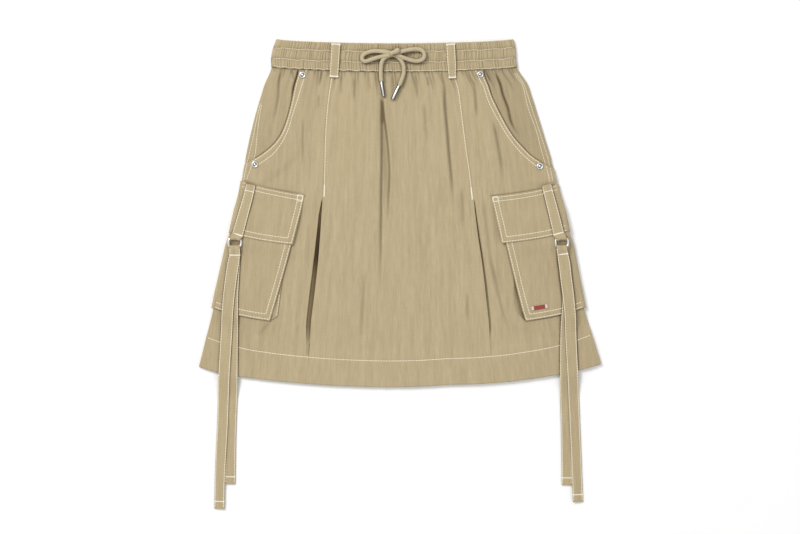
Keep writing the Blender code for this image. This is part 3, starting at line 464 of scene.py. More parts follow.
def tube(name, path, radius, finish, segments=16):
    """A round tube along a path, with a dome at each end. A point is path + r (side cos a + up sin a)."""
    ahead, side, up = frames_along(path)
    dome = np.radians([78, 52, 26])
    start = path[0] - ahead[0] * radius * np.sin(dome)[:, None]
    end = path[-1] + ahead[-1] * radius * np.sin(dome)[::-1, None]
    path = np.concatenate([start, path, end])
    side, up = (np.pad(way, ((len(dome), len(dome)), (0, 0)), mode="edge") for way in (side, up))
    share = np.concatenate([np.cos(dome), np.ones(len(path) - 2 * len(dome)), np.cos(dome)[::-1]])
    ring, angle = circles(side, up, segments)
    points = path[:, None] + ring * (radius * share)[:, None, None]
    grain = stack(angle * radius, run_of(path)[:, None])
    return add_mesh(name, points.reshape(-1, 3), capped(ring_numbers(len(path), segments)),
                    grain.reshape(-1, 2), finish, round_shade(ring), sharp=70)


# %% Curves through tables
def smooth(start, end, value):
    """0 before start, 1 after end, and an S-shaped rise between them."""
    part = np.clip((value - start) / (end - start), 0.0, 1.0)
    return part * part * (3 - 2 * part)


def fade(start, end, value):
    """1 before start, 0 after end, and an S-shaped fall between them."""
    return 1 - smooth(start, end, value)


def within(start, full, fades, end, value):
    """0 before start, 1 from full to fades, and 0 again after end."""
    return smooth(start, full, value) * fade(fades, end, value)


def bell(t, width):
    """exp(-(t / width)^2): 1 in the middle, and hardly anything two widths away."""
    return np.exp(-((t / width) ** 2))


def wave(phase):
    """A cosine that repeats at each whole number."""
    return np.cos(2 * math.pi * phase)


def curve(table, column, at):
    """A smooth curve through one column of a table, read at values of the table's first column."""
    keys = table[:, 0]
    values = table[:, column]
    slopes = np.gradient(values, keys)
    at = np.clip(np.asarray(at, float), keys[0], keys[-1])
    i = np.clip(np.searchsorted(keys, at) - 1, 0, len(keys) - 2)
    width = keys[i + 1] - keys[i]
    t = (at - keys[i]) / width
    start = (2 * t**3 - 3 * t**2 + 1) * values[i] + (t**3 - 2 * t**2 + t) * width * slopes[i]
    end = (3 * t**2 - 2 * t**3) * values[i + 1] + (t**3 - t**2) * width * slopes[i + 1]
    return start + end


def run_of(route):
    """The length of a route up to each of its points."""
    return np.concatenate([[0], np.cumsum(np.linalg.norm(np.diff(route, axis=0), axis=1))])


def points_at(route, at):
    """The points of a route at given lengths along it."""
    run = run_of(route)
    return np.stack([np.interp(at, run, column) for column in route.T], axis=1)


def through(points, spacing):
    """A smooth route through a few points, read off at an even spacing."""
    points = np.array(points, float)
    table = np.column_stack([run_of(points), points])
    fine = np.linspace(0, table[-1, 0], 600)
    route = np.stack([curve(table, k, fine) for k in (1, 2, 3)], axis=1)
    length = run_of(route)[-1]
    return points_at(route, np.linspace(0, length, max(3, round(length / spacing) + 1)))


# %% [markdown]
# ## The drawstring
#
# A round woven cord runs in the waistband and comes out at two buttonholes in front. Its ends are tied in a
# bow: each end crosses inside the knot, makes the loop on the other side, comes back through the knot and
# hangs down as a tail with a metal tip. Each end is one tube along one smooth route, so that the loops and
# tails keep one thickness and turn gently. The knot's wrap is a third, short stretch of the same cord.

# %% Routes of the cord
BAND_OUTSIDE = 0.0061
RIB_HEIGHT = 0.0007
GAP = 0.0003
BAND_FACE = BAND_OUTSIDE + RIB_HEIGHT + GAP
CORD_LOW = BAND_FACE + CORD_DIAMETER / 2 + 0.0002

# Places of the cord as x, y and the height over where it lies on the waistband.
LEADS = {
    "left": [(-.0252, .3030, -.0030), (-.0226, .3028, -.0012), (-.0195, .3022, 0), (-.0158, .3012, 0)],
    "right": [(.0062, .3030, -.0030), (.0036, .3028, -.0012), (.0005, .3022, 0), (-.0032, .3012, 0)],
}
LOOPS = {
    "left": [(-.0152, .3001, .0022), (-.0192, .3009, .0022), (-.0244, .3021, .0020), (-.0296, .3027, .0010),
             (-.0348, .3028, .0010), (-.0400, .3022, 0), (-.0452, .3005, 0), (-.0494, .2978, 0),
             (-.0514, .2948, 0), (-.0509, .2913, 0), (-.0483, .2892, 0), (-.0447, .2895, 0),
             (-.0400, .2911, .0005), (-.0348, .2928, .0010), (-.0296, .2944, .0010), (-.0244, .2956, .0012),
             (-.0181, .2965, .0022)],
    "right": [(-.0040, .3006, .0022), (-.0004, .3014, .0022), (.0058, .3030, .0020), (.0115, .3043, .0010),
              (.0172, .3052, .0010), (.0225, .3055, 0), (.0277, .3047, 0), (.0318, .3018, 0),
              (.0332, .2973, 0), (.0316, .2927, 0), (.0277, .2903, 0), (.0225, .2894, 0),
              (.0172, .2900, .0010), (.0115, .2916, .0010), (.0058, .2934, .0020), (.0006, .2955, .0022),
              (-.0034, .2972, .0022)],
}
TAILS = {
    "left": [(-.0160, .2962, .0004), (-.0205, .2936, 0), (-.0236, .2902, 0), (-.0252, .2856, 0),
             (-.0258, .2795, -.0003), (-.0260, .2730, -.0010), (-.0257, .2670, -.0010),
             (-.0254, .2634, -.0010)],
    "right": [(-.0050, .2960, .0004), (-.0008, .2928, 0), (.0028, .2882, 0), (.0047, .2838, 0),
              (.0053, .2786, -.0003), (.0050, .2729, -.0010), (.0037, .2677, -.0010), (.0016, .2625, -.0010),
              (-.0002, .2580, -.0010)],
}
# Where each end crosses in the knot: on its way to the loop, and on its way back to the tail.
CROSSINGS = {
    "left": [(-.0092, .3001, .0008), (-.0098, .2972, .0018)],
    "right": [(-.0092, .3001, .0030), (-.0094, .2970, .0032)],
}
AGLETS = {
    "left": [(-.0257, .2640, -.0010), (-.0223, .2415, -.0020)],
    "right": [(-.0002, .2584, -.0010), (-.0103, .2375, -.0018)],
}
OTHER = {"left": "right", "right": "left"}


def on_cord_level(places):
    """Places whose heights count from the level of the lowest cord's centre."""
    return np.array(places) + (0, 0, CORD_LOW)


# %% Cord, knot and metal tips
KNOT = np.array([-.0071, .3006, .0142])
KNOT_REACH = 0.0053
KNOT_RISE = 0.0036
KNOT_SWING = 0.0012
KNOT_LEAN = math.radians(36)
AGLET_RADIUS = 0.0023
# Painted shade and painted dark reflection on the flanks of turned metal: the light left where they face
# sideways.
FLANK_SHADE = 0.13

cord_paths = {}
cords = {}
for side in ("left", "right"):
    to_loop, to_tail = CROSSINGS[side]
    route = LEADS[side] + [to_loop] + LOOPS[OTHER[side]] + [to_tail] + TAILS[side]
    cord_paths[side] = through(on_cord_level(route), 0.0012)
    cords[side] = tube(f"drawstring_{side}", cord_paths[side], CORD_DIAMETER / 2, CORD)
    print(side, "cord", round(run_of(cord_paths[side])[-1], 4), "m")


def knot_wrap():
    """The stretch of cord that goes once round the crossing: an upright oval that leans across the knot."""
    turn = np.linspace(0, 2 * math.pi, 40, endpoint=False)[:, None]
    flat = np.array([math.cos(KNOT_LEAN), math.sin(KNOT_LEAN), 0]) * KNOT_REACH
    swing = np.array([math.sin(KNOT_LEAN), -math.cos(KNOT_LEAN), 0]) * KNOT_SWING
    return KNOT + np.cos(turn) * flat + np.sin(turn) * (0, 0, KNOT_RISE) + np.sin(2 * turn) * swing


def ring_tube(name, path, radius, finish, segments):
    """A closed tube whose frame is taken from the path's own plane."""
    ahead = unit(np.roll(path, -1, axis=0) - np.roll(path, 1, axis=0))
    from_middle = path - path.mean(axis=0)
    out = unit(from_middle - ahead * (from_middle * ahead).sum(axis=1, keepdims=True))
    ring, angle = circles(out, np.cross(ahead, out), segments)
    index = ring_numbers(len(path), segments)
    index = np.concatenate([index, index[:1]])
    whole = run_of(np.concatenate([path, path[:1]]))[-1]
    grain = stack(angle * radius, (np.arange(len(path)) * whole / len(path))[:, None])
    return add_mesh(name, (path[:, None] + ring * radius).reshape(-1, 3), quads_of(index).tolist(),
                    grain.reshape(-1, 2), finish, round_shade(ring), sharp=70)


knot = ring_tube("bow_knot", knot_wrap(), CORD_DIAMETER / 2, CORD, 14)
report(*cords.values(), knot)


def turned(name, profile, start, end, finish, segments=28, shades=None):
    """A profile of (radius, share of the length) turned round the line from start to end. Its first and last
    radius are zero, so both ends are closed. Shades gives a painted shade for each point of the profile, or
    else the flanks, whose normals lie level, get painted shade and a painted dark reflection, the darker the
    less they look up."""
    start, end = np.array(start, float), np.array(end, float)
    axis = unit(end - start)
    side = unit(np.cross(axis, [0.0, 1.0, 0.0] if abs(axis[1]) < 0.9 else [1.0, 0.0, 0.0]))
    ring = circles(side[None], np.cross(side, axis)[None], segments)[0][0]
    radii, at = np.array(profile).T
    spine = start + (end - start) * at[:, None]
    body = spine[1:-1, None] + ring * radii[1:-1, None, None]
    points = np.concatenate([body.reshape(-1, 3), spine[[0, -1]]])
    index = ring_numbers(len(body), segments)
    faces = quads_of(index).tolist()
    first, last = len(points) - 2, len(points) - 1
    faces += [[first, b, a] for a, b in zip(index[0, 1:], index[0, :-1])]
    faces += [[last, a, b] for a, b in zip(index[-1, 1:], index[-1, :-1])]
    if shades is None:
        lit = FLANK_SHADE + (1 - FLANK_SHADE) * smooth(0.84, 1.0, np.abs(ring[:, 2]))
        shade = np.concatenate([np.tile(lit, len(body)), [1.0, 1.0]])
    else:
        shade = np.concatenate([np.repeat(shades[1:-1], segments), [shades[0], shades[-1]]])
    return add_mesh(name, points, faces, np.zeros((len(points), 2)), finish, shade, sharp=40)


AGLET_PROFILE = [(0, 0), (.72, 0), (.95, .008), (1.0, .03), (1.0, .10), (.90, .125), (.90, .15),
                 (1.0, .175), (1.0, .94), (.92, .975), (.62, .995), (0, 1)]
aglets = {}
for side, ends in AGLETS.items():
    profile = [(r * AGLET_RADIUS, t) for r, t in AGLET_PROFILE]
    aglets[side] = turned(f"cord_tip_{side}", profile, *on_cord_level(ends), METAL)

# %% [markdown]
# ## The skirt's own coordinates
#
# Every cloth piece of the skirt is worked out in two coordinates that follow the garment: u runs from -1 at
# the left side edge to +1 at the right one, and d is the depth below the waist seam. A table of sections
# turns them into x and y. This way a fold, a row of stitches or a pocket edge keeps its place on the cloth
# while the skirt flares and its sections sag.

# %% Outline of the skirt
WALL = 0.0012
STEP = WALL + GAP
HEM_RAMP = 0.352
HEM_TOP = 0.3680
HEM_EXTRA = 0.0008
SKIRT_LENGTH = 0.4060
WAIST_Y = 0.2812
SECTIONS = np.array([
    # depth    left     right    sag
    (-.0382, -.1672, .1530, .0053),
    (-.0274, -.1712, .1556, .0058),
    (-.0134, -.1741, .1566, .0063),
    (.0000, -.1741, .1586, .0065),
    (.0224, -.1832, .1727, .0084),
    (.0388, -.1884, .1782, .0100),
    (.0632, -.1956, .1860, .0135),
    (.0959, -.2036, .1960, .0175),
    (.1285, -.2104, .2060, .0205),
    (.1584, -.2150, .2130, .0230),
    (.2251, -.2290, .2280, .0235),
    (.3271, -.2525, .2490, .0288),
    (.3665, -.2628, .2605, .0320),
    (.4060, -.2727, .2727, .0290),
])

# How much higher the hem lies than its bow, at places across.
HEM_RISE = np.array([(-1, -.0008), (-.80, 0), (-.05, .0008), (.10, .0014), (.25, .0027), (.40, .0014),
                     (.55, .0012), (.75, .0026), (.92, .0034), (1, .0030)])


def place(u, d):
    """x and y of a point of the skirt. Each section is a shallow bow whose middle hangs lowest."""
    left = curve(SECTIONS, 1, d)
    right = curve(SECTIONS, 2, d)
    bow = 0.8 * (1 - u**2) + 0.2 * (1 - np.abs(u) ** 10)
    rise = np.interp(u, HEM_RISE[:, 0], HEM_RISE[:, 1]) * smooth(0.31, 0.38, d)
    return left + (u + 1) / 2 * (right - left), WAIST_Y - d - curve(SECTIONS, 3, d) * bow + rise


def half_width(d):
    """Half the skirt's width at a depth."""
    return (curve(SECTIONS, 2, d) - curve(SECTIONS, 1, d)) / 2


def find(x, y):
    """u and d of a point given by x and y, by nine steps of correction."""
    d = WAIST_Y - y
    for _ in range(9):
        u = (x - curve(SECTIONS, 1, d)) / half_width(d) - 1
        d = d + 0.9 * (place(u, d)[1] - y)
    return u, d


def grain_of(u, d):
    """The cloth's grain: across it the mean of the true width and of the flare's, along it the depth."""
    x, _ = place(u, d)
    return stack((x + u * 0.215) / 2, d)


def spread(count, pull=0.6):
    """Even steps from 0 to 1 that are drawn closer together at both ends."""
    t = np.linspace(0, 1, count)
    return t - pull * np.sin(2 * math.pi * t) / (2 * math.pi)


print("width at the hem", round(float(2 * half_width(SKIRT_LENGTH)), 4), "m")

# %% [markdown]
# ## Folds, creases and gathers
#
# The cloth is thin and crisp, so it shows broad soft folds, a few sharp creases and, below the waistband,
# many small gathers. The broad folds are bell-shaped ridges and troughs along lines on the cloth. A sharp
# crease is a narrow trough with a lower ridge along one side, the way pressed cloth keeps a mark. The gathers
# are waves that are strongest at the waist seam and fade with depth. All are heights added to the front, so
# that everything that lies on the front follows them.

# %% Tables of the lines on the cloth
HOLLOW = 0.0020
EDGE_ROLL = 0.010
WAIST_RISE = 0.0005
PLEAT_TENT = 0.0005
PLEAT_TENT_WIDTH = 0.05
POCKET_PRESS = 0.0007
LEAST_HOLLOW = 0.0001
MOST_HOLLOW = 0.0036

MOUTH = np.array([
    # depth   left    right
    (.0000, -.778, .724),
    (.0150, -.776, .708),
    (.0299, -.773, .709),
    (.0460, -.772, .730),
    (.0630, -.778, .757),
    (.0803, -.796, .788),
    (.0926, -.823, .819),
    (.1034, -.862, .852),
    (.1123, -.902, .879),
    (.1222, -.953, .923),
    (.1310, -1.000, .970),
    (.1360, -1.000, 1.000),
])
MOUTH_END = 0.1360
FACING_REACH = 0.085
FACING_DROP = 0.018
FACING_FOOT = 0.1480
FACING_STEP = STEP + 0.0004

PLEAT = np.array([
    # depth   left    right  left gap  right gap
    (.0000, -.515, .486, .0000, .0000),
    (.0377, -.513, .482, .0000, .0000),
    (.1358, -.488, .473, .0000, .0000),
    (.1600, -.486, .472, .0012, .0010),
    (.1817, -.484, .471, .0040, .0018),
    (.2101, -.479, .473, .0054, .0022),
    (.2435, -.475, .481, .0068, .0028),
    (.2885, -.475, .489, .0072, .0034),
    (.3258, -.476, .490, .0066, .0030),
    (.3520, -.470, .481, .0050, .0018),
    (.3665, -.468, .477, .0038, .0010),
    (.4060, -.468, .474, .0000, .0000),
])
PLEAT_OPENS = 0.1600
PLEAT_SHUTS = (0.328, 0.354)
# Painted shade along both edges of an open pleat, down to the hem: how much light it takes away on each side.
PLEAT_EDGE_SHADE = {-1: 0.40, 1: 0.26}
UNDERLAY_WIDTH = 0.014
LEAST_STAND_OFF = 0.0012

# Broad folds: a ridge is positive, a trough negative.
FOLDS = np.array([
    # u head  u foot  head    foot    width   height
    (-.108, -.106, .020, .230, .022, -.0008),
    (-.080, -.040, .022, .150, .024, .0009),
    (-.170, -.165, .050, .330, .050, .0008),
    (-.255, -.235, .150, .390, .045, -.0007),
    (-.330, -.330, .030, .260, .050, .0007),
    (.060, .075, .060, .395, .055, .0008),
    (.160, .170, .170, .395, .045, -.0007),
    (.240, .250, .030, .300, .045, .0006),
    (.376, .345, .000, .150, .022, -.0008),
    (.330, .310, .010, .240, .030, .0008),
    (.390, .395, .180, .395, .040, .0005),
    (.590, .596, .020, .080, .020, -.0005),
    (.560, .545, .170, .350, .022, .0008),
    (.650, .660, .060, .140, .025, .0006),
    (-.560, -.560, .160, .350, .025, .0007),
    (-.650, -.640, .050, .140, .030, .0006),
])

# Sharp creases: the places that each passes (u, depth), its half width, its rise (a trough is negative) and
# the side that its ridge lies on.
CREASES = [
    ([(-.110, .0325), (-.105, .063), (-.106, .107), (-.114, .157), (-.112, .225), (-.110, .271)],
     .0015, -.0012, -1),
    ([(-.1065, .0335), (-.101, .0450), (-.099, .064)], .0021, -.0017, 1),
    ([(-.102, .0400), (-.090, .0750), (-.082, .115), (-.088, .165)], .0042, -.0006, 1),
    ([(-.098, .044), (-.075, .0705), (-.058, .107), (-.058, .126), (-.069, .157), (-.072, .187)],
     .0014, -.0013, 1),
    ([(.390, .002), (.364, .0356), (.358, .072), (.352, .096), (.346, .133), (.343, .164)],
     .0017, -.0012, -1),
    ([(.205, .041), (.209, .083)], .0024, -.0005, 1),
    ([(.405, .146), (.387, .199)], .0024, -.0006, 1),
    ([(-.199, .254), (-.202, .341)], .0026, -.0006, -1),
    ([(.387, .285), (.378, .321)], .0022, -.0005, 1),
    ([(-.595, .000), (-.592, .020)], .0016, -.0008, 1),
    ([(-.665, .0615), (-.623, .123)], .0018, -.0006, 1),
    ([(-.327, .008), (-.311, .037)], .0018, -.0008, 1),
    ([(-.581, .031), (-.567, .049)], .0016, -.0006, 1),
    ([(-.933, .0025), (-.886, .0305), (-.869, .0665)], .0018, -.0010, 1),
    ([(-.833, .0016), (-.802, .014)], .0015, -.0008, 1),
    ([(.601, .0005), (.601, .013), (.613, .021)], .0016, -.0010, 1),
    ([(.601, .0176), (.592, .035), (.579, .058)], .0017, -.0009, -1),
    ([(.690, .066), (.687, .101), (.676, .134)], .0017, -.0010, -1),
    ([(.166, .005), (.155, .035)], .0018, -.0007, 1),
    ([(.263, .0056), (.255, .0186)], .0017, -.0007, 1),
    ([(.382, .002), (.366, .0165)], .0016, -.0006, 1),
    ([(.822, .002), (.800, .029), (.813, .050), (.812, .068), (.836, .085)], .0015, -.0021, 1),
    ([(.754, .001), (.740, .016)], .0015, -.0008, 1),
    ([(-.700, .3290), (-.722, .338), (-.745, .348)], .0024, -.0005, 1),
    ([(.536, .162), (.530, .230), (.549, .296)], .0022, -.0006, 1),
    ([(.540, .246), (.565, .296), (.587, .336)], .0020, -.0006, 1),
    ([(.482, .191), (.488, .245)], .0018, -.0005, 1),
    ([(-.020, .0060), (-.024, .030)], .0017, -.0006, 1),
    ([(.060, .0040), (.052, .022)], .0016, -.0006, -1),
    ([(-.210, .0040), (-.200, .024)], .0017, -.0006, 1),
    ([(-.430, .0050), (-.418, .030)], .0018, -.0006, 1),
]
# Shallow waves down the cloth: their length across, their height, and how they drift.
RIPPLES = [(.0245, .00022, .4, 19.0), (.0167, .00016, 2.1, 31.0), (.0113, .00009, 4.0, 43.0)]
GATHERS = 16
GATHER_HEIGHT = 0.0006
GATHER_FADE = 0.030
VALLEYS = 52
VALLEY_LENGTHS = (0.008, 0.040)
VALLEY_WIDTH = 0.0012
VALLEY_DEPTH = 0.0008
VALLEY_LEAN = 1.0
HEM_ROPE = 0.00011
STITCH_GROOVE = 0.00028
# Finer gathers: their length across, height and fading depth.
FINE_GATHERS = [(.0093, .00030, .024), (.0056, .00022, .011)]
print("broad folds:", len(FOLDS), "sharp creases:", len(CREASES))

# %% Heights of the front
def broad_folds(u, d):
    """The sum of bells across each fold, fading in and out along it."""
    height = np.zeros(np.broadcast(u, d).shape)
    for head_u, foot_u, head, foot, width, rise in FOLDS:
        along = (d - head) / (foot - head)
        middle = head_u + (foot_u - head_u) * np.clip(along, 0, 1)
        ends = within(-0.12, 0.15, 0.75, 1.12, along)
        height = height + rise * ends * bell(u - middle, width)
    return height


def crease_bells(u, d, table):
    """For each crease its rise, the bell of its trough and the bell of the ridge beside it, by the distance t
    in metres from the crease's line. Both fade in and out along the line."""
    scale = half_width(d)
    for line, width, rise, ridge in table:
        line = np.array(line)
        t = (u - curve(line[:, ::-1], 1, d)) * scale
        run = (d - line[0, 1]) / (line[-1, 1] - line[0, 1])
        ends = within(-0.10, 0.18, 0.66, 1.10, run)
        yield rise, ends * bell(t, width), ends * bell(t - 2.2 * width * ridge, 1.6 * width)


def sharp_creases(u, d, table):
    """The sum of rise * (trough - 0.6 ridge) over the table's creases."""
    return sum(rise * (trough - 0.6 * ridge) for rise, trough, ridge in crease_bells(u, d, table))


def valleys(u, d):
    """Narrow valleys that start at the waist seam: a sum of bells across their lines, each fading out at its
    own length. Multiples of two irrational numbers set their places, lengths and widths, so none repeat."""
    count = np.arange(VALLEYS)
    share, other = (count * 0.618034) % 1.0, (count * 0.754877) % 1.0
    middle = -0.98 + 1.96 * (count + 0.5 + 0.8 * (share - 0.5)) / VALLEYS
    length = VALLEY_LENGTHS[0] + (VALLEY_LENGTHS[1] - VALLEY_LENGTHS[0]) * other**2
    u, d = np.asarray(u)[..., None], np.asarray(d)[..., None]
    line = middle + VALLEY_LEAN * (other - 0.5) * d - 0.35 * middle * d
    across = bell((u - line) * half_width(d), VALLEY_WIDTH * (0.7 + 0.6 * share))
    deep = (0.45 + 0.55 * other) * fade(0.25, 1.0, d / length) * (d > -0.0005)
    return np.minimum((deep * across).sum(axis=-1), 1.0)


def ripples(u, d):
    """Cosines of the place across that drift sideways with depth and swell and fade over the cloth."""
    x = u * 0.215
    height = 0
    for length, rise, drift, pace in RIPPLES:
        swell = 0.6 + 0.4 * np.sin(pace * d + 31 * x + drift)
        height = height + rise * swell * wave(x / length + 0.35 * np.sin(0.6 * pace * d + drift))
    return height


def gathers(u, d):
    """Waves under the waist seam: the broad ones as cosines, the fine ones as 2 |cos| - 1, which has round
    ridges and sharp valleys. Each fades as exp(-d / its depth)."""
    below = np.maximum(d, 0)
    phase = u * GATHERS / 0.98 + 0.30 * np.sin(11 * u) + 0.15 * np.sin(23 * u + 1)
    broad = wave(phase) * (0.75 + 0.25 * np.sin(17 * u + 2))
    height = GATHER_HEIGHT * broad * np.exp(-below / GATHER_FADE)
    x = u * 0.17
    for length, rise, reach in FINE_GATHERS:
        phase = x / length + 0.45 * np.sin(90 * x + 1) + 0.25 * np.sin(210 * x) + 4 * d * np.sin(60 * x)
        uneven = 0.65 + 0.35 * np.sin(130 * x + 2)
        height = height + rise * uneven * (2 * np.abs(np.cos(math.pi * phase)) - 1) * np.exp(-below / reach)
    return height - VALLEY_DEPTH * valleys(u, below)


def front_shade(u, d):
    """Painted shade: the light that is left at the bottom of creases and valleys and close under the waist
    seam, and a little less towards the side edges.
    """
    deep = sum(trough * abs(rise) / 0.0012 for rise, trough, _ in crease_bells(u, d, CREASES))
    seam = 0.30 * np.exp(-np.maximum(d, 0) / 0.0013)
    sides = 1 - 0.045 * smooth(0.50, 0.80, np.abs(u))
    return np.clip((1 - 0.48 * deep) * (1 - 0.38 * valleys(u, d)) * (1 - seam), 0.30, 1.0) * sides


def in_pocket(u, d):
    """1 under the cargo pockets and flaps, where the cloth is pressed flat."""
    return smooth(0.56, 0.60, np.abs(u)) * within(0.140, 0.156, 0.332, 0.345, d)


def hem_layer(d):
    """The turned-up hem makes the cloth thicker on its inner side."""
    return HEM_EXTRA * smooth(HEM_RAMP, HEM_TOP - 0.0015, d)


def hem_roping(u, d):
    """A groove under the hem's stitches, and the faint slanting ropes that a hem gets in the wash."""
    x = u * 0.26
    rope = wave(x / 0.0092 + (d - HEM_TOP) / 0.060 + 0.3 * np.sin(70 * x))
    shown = within(HEM_TOP, HEM_TOP + 0.006, 0.398, 0.406, d)
    return HEM_ROPE * rope * shown * (0.6 + 0.4 * np.sin(43 * x)) - STITCH_GROOVE * bell(d - HEM_TOP, 0.0013)


def hollow(u, d):
    """The space between the front and the back: nothing at the side edges, and full a little way in."""
    from_side = (1 - np.abs(u)) * half_width(d)
    roll = 1 - np.exp(-from_side / EDGE_ROLL)
    from_pleat = np.minimum(np.abs(u - curve(PLEAT, 1, d)), np.abs(u - curve(PLEAT, 2, d)))
    tent = PLEAT_TENT * bell(from_pleat, PLEAT_TENT_WIDTH) * within(0.12, 0.20, 0.33, 0.36, d)
    relief = broad_folds(u, d) + sharp_creases(u, d, CREASES) + ripples(u, d) + gathers(u, d)
    relief = relief * (1 - in_pocket(u, d)) * smooth(0.0, 0.02, from_side) + hem_roping(u, d)
    seam = WAIST_RISE * fade(0.0, 0.05, d)
    filled = HOLLOW - POCKET_PRESS * in_pocket(u, d) - hem_layer(d)
    return np.clip((filled + tent + seam + relief) * roll, LEAST_HOLLOW, MOST_HOLLOW)


# %% Layers that lie on each other
BACK_HALF_U = (0.505, 0.585)
POCKET_BACK_D = (.178, .199, .330, .346)
FLAP_BACK_D = (.136, .154, .229, .246)


def back_lift(u, d):
    """How far the cargo pockets' back halves, and their flaps', hold the back panel off the surface."""
    layers = 0
    for start, full, fades, end in (POCKET_BACK_D, FLAP_BACK_D):
        layers = layers + within(start, full, fades, end, d)
    return STEP * layers * smooth(*BACK_HALF_U, np.abs(u))


def front_floor(u, d):
    """The lowest that the front's outer face can lie on the back panel."""
    return back_lift(u, d) + 2 * (WALL + hem_layer(d)) + GAP


def front_top(u, d):
    """The height of the front's outer face: the floor and the hollow."""
    return front_floor(u, d) + hollow(u, d)


def mouth(side, d):
    """u of the hip pocket's mouth on one side."""
    return np.clip(curve(MOUTH, 1 if side < 0 else 2, d), -1, 1)


def facing_edge(side, d):
    """u of the hidden inner edge of the hip facing, which follows the mouth under the side panel."""
    return mouth(side, d - FACING_DROP) - side * FACING_REACH


# How far the first row of stitching lies from each hip-pocket mouth, and where the second row lies.
MOUTH_ROW = 0.0016
MOUTH_SECOND = {
    -1: np.array([(.0000, -.720), (.013, -.722), (.027, -.727), (.056, -.745), (.077, -.759), (.096, -.792),
                  (.109, -.829), (.120, -.880), (.127, -.915)]),
    1: np.array([(.0000, .664), (.013, .667), (.041, .684), (.066, .727), (.086, .767), (.107, .823),
                 (.120, .868), (.129, .903)]),
}


def mouth_welt(side, u, d):
    """The turned edge of a hip-pocket mouth: a low roll beside the edge and a groove under each stitch
    row."""
    slant = 1 - 0.45 * smooth(0.085, 0.115, d)
    first = (mouth(side, d) - u) * side * half_width(d) * slant
    second = (u - curve(MOUTH_SECOND[side], 1, d)) * half_width(d) * slant
    grooves = STITCH_GROOVE * bell(first - MOUTH_ROW, 0.0009) + 0.00024 * bell(second, 0.0011)
    return (0.00022 * bell(first - 0.0036, 0.0022) - grooves) * fade(0.128, 0.140, d)


def side_top(side, u, d):
    """The side panel's outer face: the front's, raised where the hip facing and its gathers lie under it."""
    beyond = (facing_edge(side, d) - u) * side
    over = fade(0.015, 0.085, beyond) * fade(FACING_FOOT + 0.001, FACING_FOOT + 0.009, d)
    step = FACING_STEP + GATHER_HEIGHT * np.exp(-np.maximum(d, 0) / GATHER_FADE)
    return front_top(u, d) + step * over + mouth_welt(side, u, d)


print("front height in the middle", round(float(front_top(np.array(0.0), np.array(0.2))), 4), "m")

# %% [markdown]
# ## Front, side and back panels
#
# The middle panel ends in two folded pleat edges. Each side panel runs from the hip-pocket mouth and the side
# edge to the pleat, where it rolls down and goes on under the middle panel as an underlay, so a pleat that
# stands open shows a dark inside, deepened by painted shade. At the side edge the cloth turns round to the
# back. The back is one panel that rests on the surface, with shallower creases of its own.

# %% Middle panel
# The light left inside each pleat, by depth.
UNDERLAY_SHADE = {
    -1: np.array([(.160, .40), (.187, .28), (.200, .16), (.228, .11), (.241, .12), (.255, .28), (.270, .42),
                  (.320, .54)]),
    1: np.array([(.160, .26), (.220, .34), (.250, .46), (.280, .62), (.310, .78), (.340, .90)]),
}
PLEAT_STEEP = {-1: 0.78, 1: 0.55}
PLEAT_ROW = 0.0017
PLEAT_DENT = 0.00022


def rows_of(start, end, count, pull=0.35):
    """Depths from start to end as a column, closer together at both ends."""
    return (start + (end - start) * spread(count, pull))[:, None]


def pleat_groove(u, d):
    """The middle panel is pressed down along the topstitching beside each pleat edge."""
    dent = 0
    for column in (1, 2):
        t = np.abs(u - curve(PLEAT, column, d)) * half_width(d)
        dent = dent + PLEAT_DENT * bell(t - PLEAT_ROW, 0.0009)
    return dent * fade(0.155, 0.165, d)


def middle_top(u, d):
    """The middle panel's outer face: the front's, less the grooves beside the pleats."""
    return front_top(u, d) - pleat_groove(u, d)


def make_front_centre():
    """The middle panel: every row goes evenly from one pleat line to the other."""
    d = rows_of(0.0, SKIRT_LENGTH, 206)
    left, right = curve(PLEAT, 1, d), curve(PLEAT, 2, d)
    u = left + (right - left) * spread(236, 0.20)
    x, y = place(u, d)
    top = middle_top(u, d)
    under = top - WALL - hem_layer(d)
    grain, shade = grain_of(u, d), front_shade(u, d)
    return shell("front_middle", stack(x, y, top), stack(x, y, under), grain, shade=shade)


front_middle = make_front_centre()
report(front_middle)

# %% Side panels
CURL_REACH = 0.0011
CURL_LOW = 0.0004
MOUTH_CURL = 0.0004
# The pleat's roll: shares of the way from its lip to where it lies on the back, and then in under the middle.
ROLL = np.array([.12, .26, .42, .60, .80, 1.0])
RUN_IN = np.array([.2, .45, .7, 1.0])
# How strongly each column that runs in under the middle panel takes the pleat edge's painted shade.
RUN_IN_SHADE = np.array([.9, .45, .75, 1.0])


